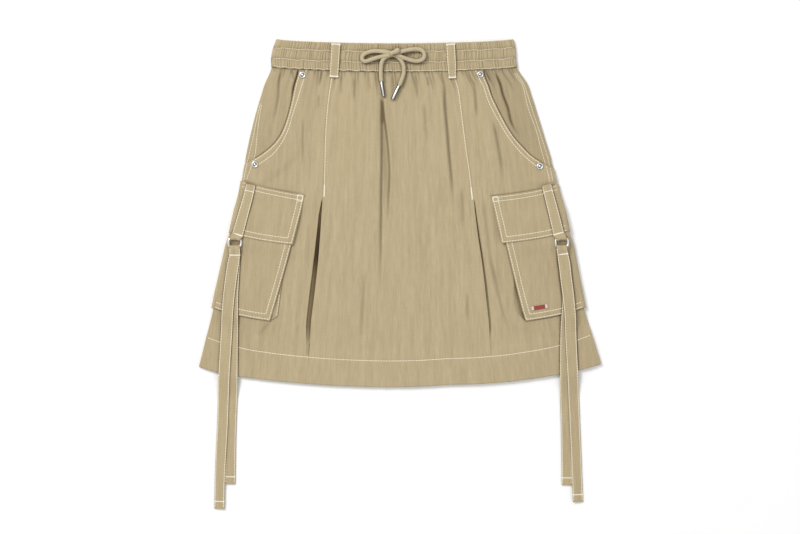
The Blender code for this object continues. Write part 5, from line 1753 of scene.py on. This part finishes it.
def resting_height(spec, x, y):
    """The top of the skirt and its pockets under a point, or the surface beyond the hem."""
    u, d = find(x, y)
    on_skirt = (d < SKIRT_LENGTH + 0.001) & (np.abs(u) < 1.0)
    on_pocket = (d < POCKET_FOOT + 0.001) & (d > POCKET_MOUTH)
    height = np.where(on_pocket, pocket_under(u, d) + WALL + pocket_full(spec, u, d), front_top(u, d))
    return np.where(on_skirt, height, -GAP)


def tail_route(spec, places):
    """A tail's centres: along its places, clear of all it lies on and no steeper than a strap bends."""
    route = through([(x, y, 0.0) for x, y in places], 0.0020)
    x, y = route[:, 0], route[:, 1]
    best = np.full(len(x), -1.0)
    for offset in np.linspace(-STRAP_WIDTH / 2 - 0.0005, STRAP_WIDTH / 2 + 0.0005, 7):
        for ahead in (-0.003, 0.0, 0.003):
            best = np.maximum(best, resting_height(spec, x + offset, y + ahead))
    run = run_of(route[:, :2])
    lies = np.max(best - STRAP_SLOPE * np.abs(run[:, None] - run), axis=1) + GAP
    return stack(x, y, np.maximum(lies, evened(lies, 4)))


def strap_route(word, spec):
    """Centres and widths' direction of a strap, up its upper tail, over the ring's wire and down again, and
    which stations lie round the wire."""
    ring_x, ring_y = spec["ring"]
    ring_z = ring_height(spec)
    wire_y = ring_y - (RING_HEIGHT - RING_WIRE)
    under = tail_route(spec, STRAPS[word]["under"])
    over = tail_route(spec, STRAPS[word]["over"])
    under_x = np.interp(-over[:, 1], -under[:, 1], under[:, 0])
    under_z = np.interp(-over[:, 1], -under[:, 1], under[:, 2])
    settled = smooth(0.004, STRAP_WIDTH - 0.002, np.abs(over[:, 0] - under_x))
    inner_side = np.maximum(under_z, over[:, 2]) + STEP + 0.0002
    outer_side = np.maximum(inner_side * (1 - settled) + over[:, 2] * settled, over[:, 2])
    tilt = -spec["sign"] * (inner_side - outer_side) / STRAP_WIDTH
    over[:, 2] = (inner_side + outer_side) / 2 + WALL / 2
    under[:, 2] += WALL / 2
    radius = RING_WIRE / 2 + GAP + WALL / 2
    turn = np.radians(np.linspace(84, -88, 18))
    fold = stack(ring_x, wire_y + STRAP_FOLD_AHEAD - radius + radius * np.cos(turn),
                 ring_z + radius * np.sin(turn))
    near_y = wire_y - STRAP_LEVEL_BELOW * np.array([0.3, 1.0])
    near_over, near_under = (stack(ring_x, near_y, ring_z + leg * radius) for leg in (1, -1))
    kept = over[:, 1] < wire_y - STRAP_FREE_BELOW
    over, tilt = over[kept], tilt[kept]
    under = under[under[:, 1] < wire_y - STRAP_FREE_BELOW]
    centres = np.concatenate([over[::-1], near_over[::-1], fold, near_under, under])
    bent = slice(len(over), len(centres) - len(under))
    slope = np.pad(tilt[::-1], (0, len(centres) - len(tilt)))
    along = np.gradient(centres[:, :2], axis=0)
    along[bent] = (0, 1)
    along[bent.stop:] *= -1
    across = stack(along[:, 1], -along[:, 0], slope * np.abs(along[:, 1]))
    return centres, unit(across), bent


strap_routes, straps = {}, {}
for word, spec in POCKETS.items():
    centres, across, bent = strap_route(word, spec)
    by_depth = np.array(STRAPS[word]["width"])
    wide = np.interp(STRAPS[word]["over"][0][1] - centres[:, 1], by_depth[:, 0], by_depth[:, 1])
    strap_routes[word] = (centres, across, bent, wide)
    run = run_of(centres)
    from_end = np.minimum(run, run[-1] - run)
    thick = 1 + TURNING_RISE * fade(0.009, 0.0105, from_end) - END_ROUNDING * fade(0.0, 0.0012, from_end)
    # Painted shade at the strap's edges, deepest where it lies on the cloth.
    on_cloth = smooth(-0.125, -0.115, centres[:, 1])
    straps[word] = ribbon(f"strap_strip_{word}", centres, across, wide, WALL, thick,
                          1 - (1 - STRAP_EDGE_SHADE) * (0.3 + 0.7 * on_cloth))
    print(word, "strap", round(run[-1], 4), "m long")

# %% Contact shade
# Painted shade beside parts that lie on others: how much light is taken beside each side's straps and tabs,
# and where the painted shade inside each D-ring lies (its spread across, its depth below the bar and its half
# width).
CONTACT = {"left": 0.44, "right": 0.60}
BESIDE_EDGE = 0.0002
WITHIN_STRIP = 0.0004
WITHIN_ROUND = 0.0006
IN_RING = (.0040, .0065, .0022)


def darken(piece, path, half, reach, amount, step=0.0006):
    """Less light on a piece beside what lies on it: its shade times 1 - amount * exp(-(t / reach)^2), where t
    is how far a point lies outside a path that is half wide on both sides, seen from above."""
    run = run_of(path)
    at = np.linspace(0, run[-1], int(run[-1] / step))
    path, half = points_at(path, at)[:, :2], np.interp(at, run, half + 0 * run)
    count = len(piece.data.vertices)
    places = np.empty(count * 3, np.float32)
    piece.data.vertices.foreach_get("co", places)
    places = places.reshape(-1, 3)[:, :2]
    shade = np.empty(count, np.float32)
    layer = piece.data.attributes["shade"].data
    layer.foreach_get("value", shade)
    margin = half.max() + 3 * reach
    near = ((places > path.min(axis=0) - margin) & (places < path.max(axis=0) + margin)).all(axis=1)
    gap = np.linalg.norm(places[near, None] - path, axis=-1) - half
    shade[near] *= 1 - amount * bell(np.maximum(gap.min(axis=1), 0), reach)
    layer.foreach_set("value", shade)


for word, spec in POCKETS.items():
    side, contact = spec["sign"], CONTACT[word]
    centres, _, bent, wide = strap_routes[word]
    for piece in (pockets[word], front_sides[word]):
        for tail in (slice(0, bent.start), slice(bent.stop + 2, None)):
            darken(piece, centres[tail], wide[tail] / 2 - WITHIN_STRIP, 0.0014, contact)
    route = tab_routes[word][0][:TAB_STATIONS]
    darken(flaps[word], route, TAB_WIDTH[:TAB_STATIONS] / 2 - WITHIN_STRIP, 0.0012, contact)
    u = np.linspace(flap_inner(spec, FLAP_TOP), 0.985, 80)
    darken(front_sides[word], stack(*place(side * u, flap_head(spec, u))), BESIDE_EDGE, 0.0014, 0.45)
    d = np.linspace(POCKET_MOUTH + 0.024, POCKET_FOOT, 90)
    for piece in (front_sides[word], gussets[word]):
        darken(piece, stack(*place(side * pocket_inner(spec, d), d)), BESIDE_EDGE, 0.0012, contact - 0.12)
    ring_x, ring_y = spec["ring"]
    inside = np.array([(ring_x + end * IN_RING[0], ring_y - IN_RING[1]) for end in (-1, 1)])
    darken(pockets[word], inside, IN_RING[2], 0.0016, 0.30)
for side in ("left", "right"):
    for piece in (waistband, front_middle):
        darken(piece, cord_paths[side][4:], CORD_DIAMETER / 2 - WITHIN_ROUND, 0.0015, 0.46)
    darken(front_middle, np.array(AGLETS[side]), AGLET_RADIUS - WITHIN_ROUND, 0.0012, 0.34)
    darken(cords[side], knot_wrap(), CORD_DIAMETER / 2 - WITHIN_STRIP, 0.0012, 0.40)
darken(waistband, knot_wrap(), CORD_DIAMETER / 2, 0.0034, 0.34)

# %% Belt loops
BELT_LOOPS = {
    "belt_loop_left": ((-.0870, .3140), (-.0898, .2674), .0122),
    "belt_loop_right": ((.0687, .3140), (.0712, .2660), .0106),
}
LOOP_STATIONS = np.array([
    # down    stand-off
    (.0000, .0000),
    (.0040, .0002),
    (.0100, .0005),
    (.0180, .0006),
    (.0260, .0006),
    (.0310, .0004),
    (.0355, .0008),
    (.0400, .0005),
    (.0480, .0002),
])
LOOP_ON_BAND = 0.0320


def loop_route(top, foot, foot_width):
    """Centres of a belt loop: over the waistband, then down to the panel, where its foot is tacked."""
    stations = LOOP_STATIONS
    on_panel = float(highest(front_top, foot[0], foot[1] + 0.003, LOOP_WIDTH / 2)) + GAP
    low = np.where(stations[:, 0] < LOOP_ON_BAND, BAND_FACE, on_panel) + stations[:, 1]
    down = np.linspace(0, top[1] - foot[1], 60)
    z = curve(np.column_stack([stations[:, 0], low]), 1, down) + LOOP_WALL / 2
    y = top[1] - down
    x = np.interp(y, [foot[1], top[1]], [foot[0], top[0]])
    lean = (top[0] - foot[0]) / (top[1] - foot[1])
    across = stack(1, -lean, 0 * y)
    wide = LOOP_WIDTH + (foot_width - LOOP_WIDTH) * smooth(0.55, 1.0, down / down[-1])
    return stack(x, y, z), unit(across), wide


loop_routes = {name: loop_route(*ends) for name, ends in BELT_LOOPS.items()}
loops = {name: ribbon(name.replace("belt_loop", "carrier"), *route, LOOP_WALL)
         for name, route in loop_routes.items()}
report(*loops.values())

# %% [markdown]
# ## Rivets and the woven tab
#
# Ring-faced rivets hold the ends of the hip-pocket mouths. A rivet is turned work: a profile of a raised
# ring, a dished middle and a small boss, turned round its axis. The woven tab on the right pocket is a flat
# strip of narrow weaving, sewn on at both ends.

# %% Rivets
RIVET_RADIUS = 0.0046
RIVET_HEIGHT = 0.0016
RIVETS = {
    "rivet_left_upper": (-1, -0.742, 0.0066),
    "rivet_left_lower": (-1, -0.938, 0.1280),
    "rivet_right_upper": (1, 0.690, 0.0055),
    "rivet_right_lower": (1, 0.922, 0.1295),
}
# The rivet's outline from its rim's foot inwards, as shares of its radius and height.
RIVET_PROFILE = [(0, -.2), (.97, -.2), (1.0, .0), (1.0, .25), (.97, .52), (.90, .80), (.80, .97),
                 (.70, 1.0), (.61, .90), (.55, .60), (.51, .30), (.44, .18), (.34, .18),
                 (.30, .40), (.26, .66), (.16, .80), (0, .82)]
# Painted shade for each point of the outline: darker at the rim's foot and in the dished middle round the
# boss.
RIVET_SHADES = np.array([.8, .4, .4, .5, .7, .9, .95, .95, .7, .42, .30, .26, .30, .6, .95, 1, 1])
rivets = {}
for name, (side, u, d) in RIVETS.items():
    x, y = place(u, d)
    z = float(highest(lambda a, b: side_top(side, a, b), x, y, RIVET_RADIUS))
    outline = [(radius * RIVET_RADIUS, rise) for radius, rise in RIVET_PROFILE]
    ends = (x, y, z), (x, y, z + RIVET_HEIGHT)
    rivets[name] = turned("cap_" + name, outline, *ends, METAL, 40, RIVET_SHADES)
report(*rivets.values())

# %% Woven tab
LABEL_SIZE = (.0215, .0046, .0008)
LABEL_AT = (0.774, 0.3120)


def make_label():
    """A thin shell in the tab's own square, turned to the pocket's slope and laid on its face."""
    u, d = LABEL_AT
    x, y = place(u, d)
    (x_in, x_out), (y_in, y_out) = place(np.array([u - 0.04, u + 0.04]), d)
    tilt = math.atan2(y_out - y_in, x_out - x_in)
    along = (spread(34, 0.3) - 0.5)[None] * LABEL_SIZE[0]
    down = (0.5 - spread(12, 0.4))[:, None] * LABEL_SIZE[1]
    xs = x + along * math.cos(tilt) - down * math.sin(tilt)
    ys = y + along * math.sin(tilt) + down * math.cos(tilt)
    lies = highest(lambda a, b: pocket_top(POCKETS["right"], a, b), x, y, 0.006) + 0.0002
    top, under = (stack(xs, ys, lies + height) for height in (LABEL_SIZE[2], 0))
    return shell("woven_mark", top, under, stack(along, down), LABEL)


label = make_label()
report(label)

# %% [markdown]
# ## Sewing
#
# All the topstitching is thick cream thread. Each stitch is its own small pillow: a short capsule that is
# widest in its middle and dips into the cloth at both ends. A row of stitches is cut from a line on a surface
# at an even pitch. A bar tack is the same pillow laid crosswise many times, close together.

# %% Rows of stitches
STITCH = 0.0034
STITCH_PITCH = 0.0037
STITCH_WIDTH = 0.00120
STITCH_RISE = 0.00046


def line_on(surface, places, spacing=0.0008):
    """A route on a surface through places given as (u, d)."""
    places = np.array(places, float)
    run = np.concatenate([[0], np.cumsum(np.hypot(np.diff(places[:, 0]) * 0.22, np.diff(places[:, 1])))])
    fine = np.linspace(0, run[-1], max(8, int(run[-1] / spacing)))
    table = np.column_stack([run, places])
    u, d = (curve(table, k, fine) for k in (1, 2))
    return surface(u, d)


def cut_stitches(route, pitch=STITCH_PITCH, length=STITCH):
    """Both ends of each stitch along a route."""
    whole = run_of(route)[-1]
    count = max(1, int(whole / pitch))
    middle = (np.arange(count) + 0.5) * whole / count
    return points_at(route, middle - length / 2), points_at(route, middle + length / 2)


def bar_tack(start, end, width, spacing=0.0007):
    """Stitches laid across the line from start to end, close together."""
    start, end = np.ravel(start).astype(float), np.ravel(end).astype(float)
    count = max(3, int(np.linalg.norm(end - start) / spacing))
    middle = start + (end - start) * np.linspace(0, 1, count)[:, None]
    across = unit(np.cross(end - start, [0, 0, 1.0])) * width / 2
    return middle - across, middle + across


def sew(name, rows, width=STITCH_WIDTH, rise=STITCH_RISE, finish=THREAD):
    """One mesh of all the stitches of some rows. Round each stitch's line lie four rings of six points,
    narrow at both ends, whose height is a share of their width."""
    start = np.concatenate([row[0] for row in rows])[:, None, None, :]
    end = np.concatenate([row[1] for row in rows])[:, None, None, :]
    along = unit(end - start)
    side = unit(np.cross(along, [0, 0, 1.0]))
    up = np.cross(side, along)
    t = np.array([0.0, 0.22, 0.78, 1.0])[None, :, None, None]
    wide = np.array([0.45, 1.0, 1.0, 0.45])[None, :, None, None]
    dip = np.array([-0.45, 0.20, 0.20, -0.45])[None, :, None, None]
    angle = np.radians(np.arange(0, 360, 60))[None, None, :, None]
    points = (start + (end - start) * t + side * np.cos(angle) * wide * width / 2
              + up * (np.sin(angle) * wide * rise + dip * rise))
    count = points.shape[0]
    ring = np.arange(24).reshape(4, 6)
    ring = np.concatenate([ring, ring[:, :1]], axis=1)
    body = quads_of(ring)
    first = (np.arange(count) * 24)[:, None, None]
    faces = (body[None] + first).reshape(-1, 4).tolist()
    for cap in (ring[0, :-1][::-1], ring[-1, :-1]):
        faces += (cap[None] + first[:, 0]).tolist()
    points = points.reshape(-1, 3)
    return add_mesh(name, points, faces, np.zeros((len(points), 2)), finish, sharp=80)


# %% Surfaces to sew on
SUNK = 0.00005
STRAP_CROSS_Y = 0.0276


def on(height, *whose):
    """A surface to sew on: the points at u and d that lie as high as a function says."""
    return lambda u, d: stack(*place(u, d), height(*whose, u, d) + SUNK)


def edge_top(side, u, d):
    """The outer face beside the side seam: the hip facing where it shows, and the side panel elsewhere."""
    in_mouth = (d < MOUTH_END) & (np.abs(u) > np.abs(mouth(side, d)))
    return np.where(in_mouth, front_top(u, d), side_top(side, u, d))


def tack_on(surface, first, second, width):
    """A bar tack between two places given as (u, d)."""
    return bar_tack(surface(*first), surface(*second), width)


def beside(route, across, offset, wall):
    """A line along a strip at an offset across it, on the face that wall's sign picks."""
    ahead = unit(np.gradient(route, axis=0))
    square = unit(across - ahead * (across * ahead).sum(axis=1, keepdims=True))
    return route + square * np.reshape(offset, (-1, 1)) + np.cross(square, ahead) * (wall * 0.46)


def strip_tack(route, across, wide, wall, at, width, level=0.0):
    """A bar tack right across a strip, at the station at, turned towards x by the share level."""
    left, right = (beside(route, across, sign * (wide / 2 - 0.0004), wall)[at] for sign in (-1, 1))
    middle = (left[1] + right[1]) / 2
    for end in (left, right):
        end[1] = middle + (end[1] - middle) * (1 - level)
    return bar_tack(left, right, width)


# %% Sewing of the panels
PLEAT_STITCH_END = {-1: 0.1570, 1: 0.1600}
MOUTH_STITCH_END = {-1: 0.1250, 1: 0.1275}
# The two rows beside each side seam.
SIDE_SEAM = {
    -1: [[(-.982, .050), (-.960, .090), (-.948, .114), (-.975, .151)],
         [(-.992, .048), (-.984, .100), (-.993, .153)]],
    1: [[(.9605, .0068), (.965, .0216), (.955, .0539), (.9655, .0861), (.9600, .1128), (.964, .1530)],
        [(.9779, .0070), (.9781, .0272), (.9797, .0623), (.986, .0979), (.9812, .1530)]],
}
u = np.linspace(-0.995, 0.993, 500)
panel_rows = [cut_stitches(on(front_top)(u, HEM_TOP - 0.0018 * smooth(0.75, 1.0, np.abs(u))))]
heavy_rows, seam_rows = [], []
for column, side in ((1, -1), (2, 1)):
    d = np.linspace(0.002, PLEAT_STITCH_END[side], 120)
    u = curve(PLEAT, column, d) - side * PLEAT_ROW / half_width(d)
    panel_rows.append(cut_stitches(on(middle_top)(u, d)))
    heavy_rows.append(tack_on(on(middle_top), (u[-12], d[-12]), (u[-1], d[-1]), 0.0020))
for side in (-1, 1):
    on_side = on(side_top, side)
    d = np.linspace(0.002, MOUTH_STITCH_END[side], 140)
    edge = mouth(side, d)
    slant = np.minimum(np.sqrt(1 + (np.gradient(edge, d) * half_width(d)) ** 2), 2.2)
    panel_rows.append(cut_stitches(on_side(edge - side * MOUTH_ROW * slant / half_width(d), d)))
    panel_rows.append(cut_stitches(line_on(on_side, MOUTH_SECOND[side][:, ::-1])))
    seam_rows += [cut_stitches(line_on(on(edge_top, side), places)) for places in SIDE_SEAM[side]]
sewing = {"panels": sew("stitches_panels", panel_rows)}

# %% Sewing of the waistband
band_rows = []
u = np.linspace(-0.985, 0.985, 900)
for sewn in BAND_SEWN:
    wander = 0.0004 * np.sin(37 * u) + 0.0003 * np.sin(71 * u + 1)
    band_rows.append(cut_stitches(on(band_face)(u, sewn + wander), 0.0031, 0.0026))
sewing["waistband"] = sew("stitches_waistband", band_rows, 0.00085, 0.00034)
seam_row = [cut_stitches(on(band_face)(u, -0.0018 - foot_wave(u)), 0.0034, 0.0030)]
sewing["seam"] = sew("stitches_waist_seam", seam_row, 0.00105, 0.00040)

# %% Sewing of the pockets and flaps
FLAP_SECOND_ROW = 0.0073
pocket_rows, strip_rows = [], []
for word, spec in POCKETS.items():
    side, flap_foot = spec["sign"], spec["flap_foot"]
    on_pocket, on_flap = on(pocket_top, spec), on(flap_top, spec)
    for inset in (EDGE_ROW, INNER_ROW):
        for surface, inner, head, foot, count, end in (
                (on_pocket, pocket_inner, POCKET_MOUTH + 0.022, POCKET_FOOT, 90, 0.998),
                (on_flap, flap_inner, FLAP_TOP + inset, flap_foot, 60, 0.997)):
            d = np.linspace(head, foot - inset, count)
            u = inner(spec, d) + inset / half_width(d)
            pocket_rows.append(cut_stitches(surface(side * u, d)))
            pocket_rows.append(cut_stitches(surface(side * np.linspace(u[-1], end, 70), np.full(70, d[-1]))))
    u = np.linspace(flap_inner(spec, FLAP_TOP) + 0.006, 0.997, 70)
    pocket_rows.append(cut_stitches(on_flap(side * u, flap_head(spec, u) + FLAP_SECOND_ROW)))
    seam_rows.append(cut_stitches(on_flap(side * u, flap_head(spec, u) + 0.0022)))
    # A bar tack closes the flap's upper inner corner, from the edge to the second row.
    d = FLAP_TOP + FLAP_SECOND_ROW
    near, far = (side * (flap_inner(spec, d) + inset / half_width(d)) for inset in (0.0010, INNER_ROW))
    head = flap_head(spec, far) + 0.0012
    box = [(near, d), (far, d), (far, head), (near, head), (near, d)]
    heavy_rows += [tack_on(on_flap, *ends, 0.0014) for ends in zip(box[:-1], box[1:])]
    # One row along the left gusset's free edge where it shows.
    if side < 0:
        table = np.array(spec["gusset"])
        d = np.linspace(0.292, table[-2, 0], 24)
        u = side * (np.interp(d, table[:, 0], table[:, 1]) + 0.0011 / half_width(d))
        seam_rows.append(cut_stitches(on(gusset_top)(u, d)))
sewing["pockets"] = sew("stitches_pockets", pocket_rows)
sewing["sides"] = sew("stitches_fine_rows", seam_rows, 0.00085, 0.00036)

# %% Sewing of the strips, and all bar tacks
for word in POCKETS:
    centres, across = tab_routes[word]
    for sign in (-1, 1):
        line = beside(centres, across, sign * (TAB_WIDTH / 2 - EDGE_SEWN), -WALL)
        strip_rows.append(cut_stitches(line[1:TAB_STATIONS]))
    for at, width, level in ((6, 0.0012, 0.0), (TAB_STATIONS - 1, 0.0021, 0.45)):
        heavy_rows.append(strip_tack(centres, across, TAB_WIDTH, -WALL, at, width, level))
    centres, across, bent, wide = strap_routes[word]
    for sign in (-1, 1):
        for wall, part in ((WALL, slice(1, bent.start + 2)), (-WALL, slice(bent.stop + 2, -1))):
            line = beside(centres, across, sign * (wide / 2 - EDGE_SEWN), wall)
            strip_rows.append(cut_stitches(line[part]))
    below_ring = int(np.argmin(np.abs(centres[:bent.start, 1] - STRAP_CROSS_Y)))
    for at, wall, width, level in ((5, WALL, 0.0016, 0.0), (below_ring, WALL, 0.0022, 0.6),
                                   (-6, -WALL, 0.0016, 0.0)):
        heavy_rows.append(strip_tack(centres, across, wide, wall, at, width, level))
for centres, across, wide in loop_routes.values():
    for sign in (-1, 1):
        line = beside(centres, across, sign * (wide / 2 - EDGE_SEWN), -LOOP_WALL)
        strip_rows.append(cut_stitches(line[2:-2]))
    for at in (2, -3):
        heavy_rows.append(strip_tack(centres, across, wide, -LOOP_WALL, at, 0.0021))
sewing["strips"] = sew("stitches_strips", strip_rows)
sewing["tacks"] = sew("bar_tacks", heavy_rows, 0.00090, 0.00055, TACK_THREAD)
print("stitches:", sum(len(piece.data.vertices) // 24 for piece in sewing.values()))

# %% [markdown]
# ## What stands for what
#
# Every new piece rides on the skirt's one body and takes the place of its plain solid.

# %% Ride and replace
COVERS = {
    "front_centre": front_middle, "back_panel": back, "waistband_front": waistband,
    "waistband_back": waistband_rear, "drawstring_knot": knot, "woven_label": label,
}
for word in POCKETS:
    COVERS.update({
        f"front_side_{word}": front_sides[word], f"hip_facing_{word}": facings[word],
        f"cargo_pocket_{word}": pockets[word], f"cargo_flap_{word}": flaps[word],
        f"cargo_gusset_{word}": gussets[word], f"flap_tab_{word}": tabs[word],
        f"strap_{word}": straps[word], f"d_ring_{word}": rings[word], f"aglet_{word}": aglets[word],
    })
COVERS.update(rivets)
COVERS.update(loops)
PIECES = [*COVERS.values(), *cords.values(), *sewing.values()]
for name, piece in COVERS.items():
    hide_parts(name)
for side in ("left", "right"):
    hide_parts(f"drawstring_lead_{side}", f"drawstring_tail_{side}",
                f"drawstring_loop_{OTHER[side]}")
for piece in PIECES:
    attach(piece, "root")

# %% Cords and sheets
for side in ("left", "right"):
    tuple(cord_paths[side][0])
    [tuple(point) for point in cord_paths[side]]


def cloth_area(piece):
    """Half the surface of a closed shell."""
    return sum(face.area for face in piece.data.polygons) / 2


# Each piece's cut: its width and length, its area, how it is held and what it rests on. A star stands for
# left, and then for right.
CUTS = {
    "front_centre": (.265, .465, .106, "gathered", "back"),
    "front_side_*": (.175, .450, .050, "gathered", "back facing_*"),
    "hip_facing_*": (.080, .165, .0102, "gathered", "back"),
    "back_panel": (.580, .460, .215, "gathered", ""),
    "waistband_front": (.450, .044, .0190, "gathered", "waistband_rear"),
    "waistband_back": (.400, .040, .0155, "gathered", ""),
    "cargo_gusset_*": (.024, .220, .0048, "folded", "side_panel_*"),
    "cargo_pocket_*": (.200, .150, .0270, "folded", "side_panel_*"),
    "cargo_flap_*": (.200, .078, .0150, "folded", "side_panel_*"),
    "flap_tab_*": (.0150, .080, .00115, "folded", "flap_*"),
    "strap_*": (.0165, .690, .0110, "folded", "pocket_face_*"),
    "belt_loop_*": (.0150, .054, .00075, "laid", "waistband"),
    "woven_label": (.0230, .0100, .00012, "laid", "pocket_face_right"),
}
for names, (wide, long, area, held, under) in CUTS.items():
    for word in ("left", "right") if "*" in names else ("",):
        name = names.replace("*", word)
        share = cloth_area(COVERS[name]) / area
        print(name, "cloth", round(share * area, 5), "cut", area, "share", round(share, 2))
        under.replace("*", word).split()

# %% Sizes
print("triangles:", sum(len(piece.data.loops) - 2 * len(piece.data.polygons)
                        for piece in PIECES))
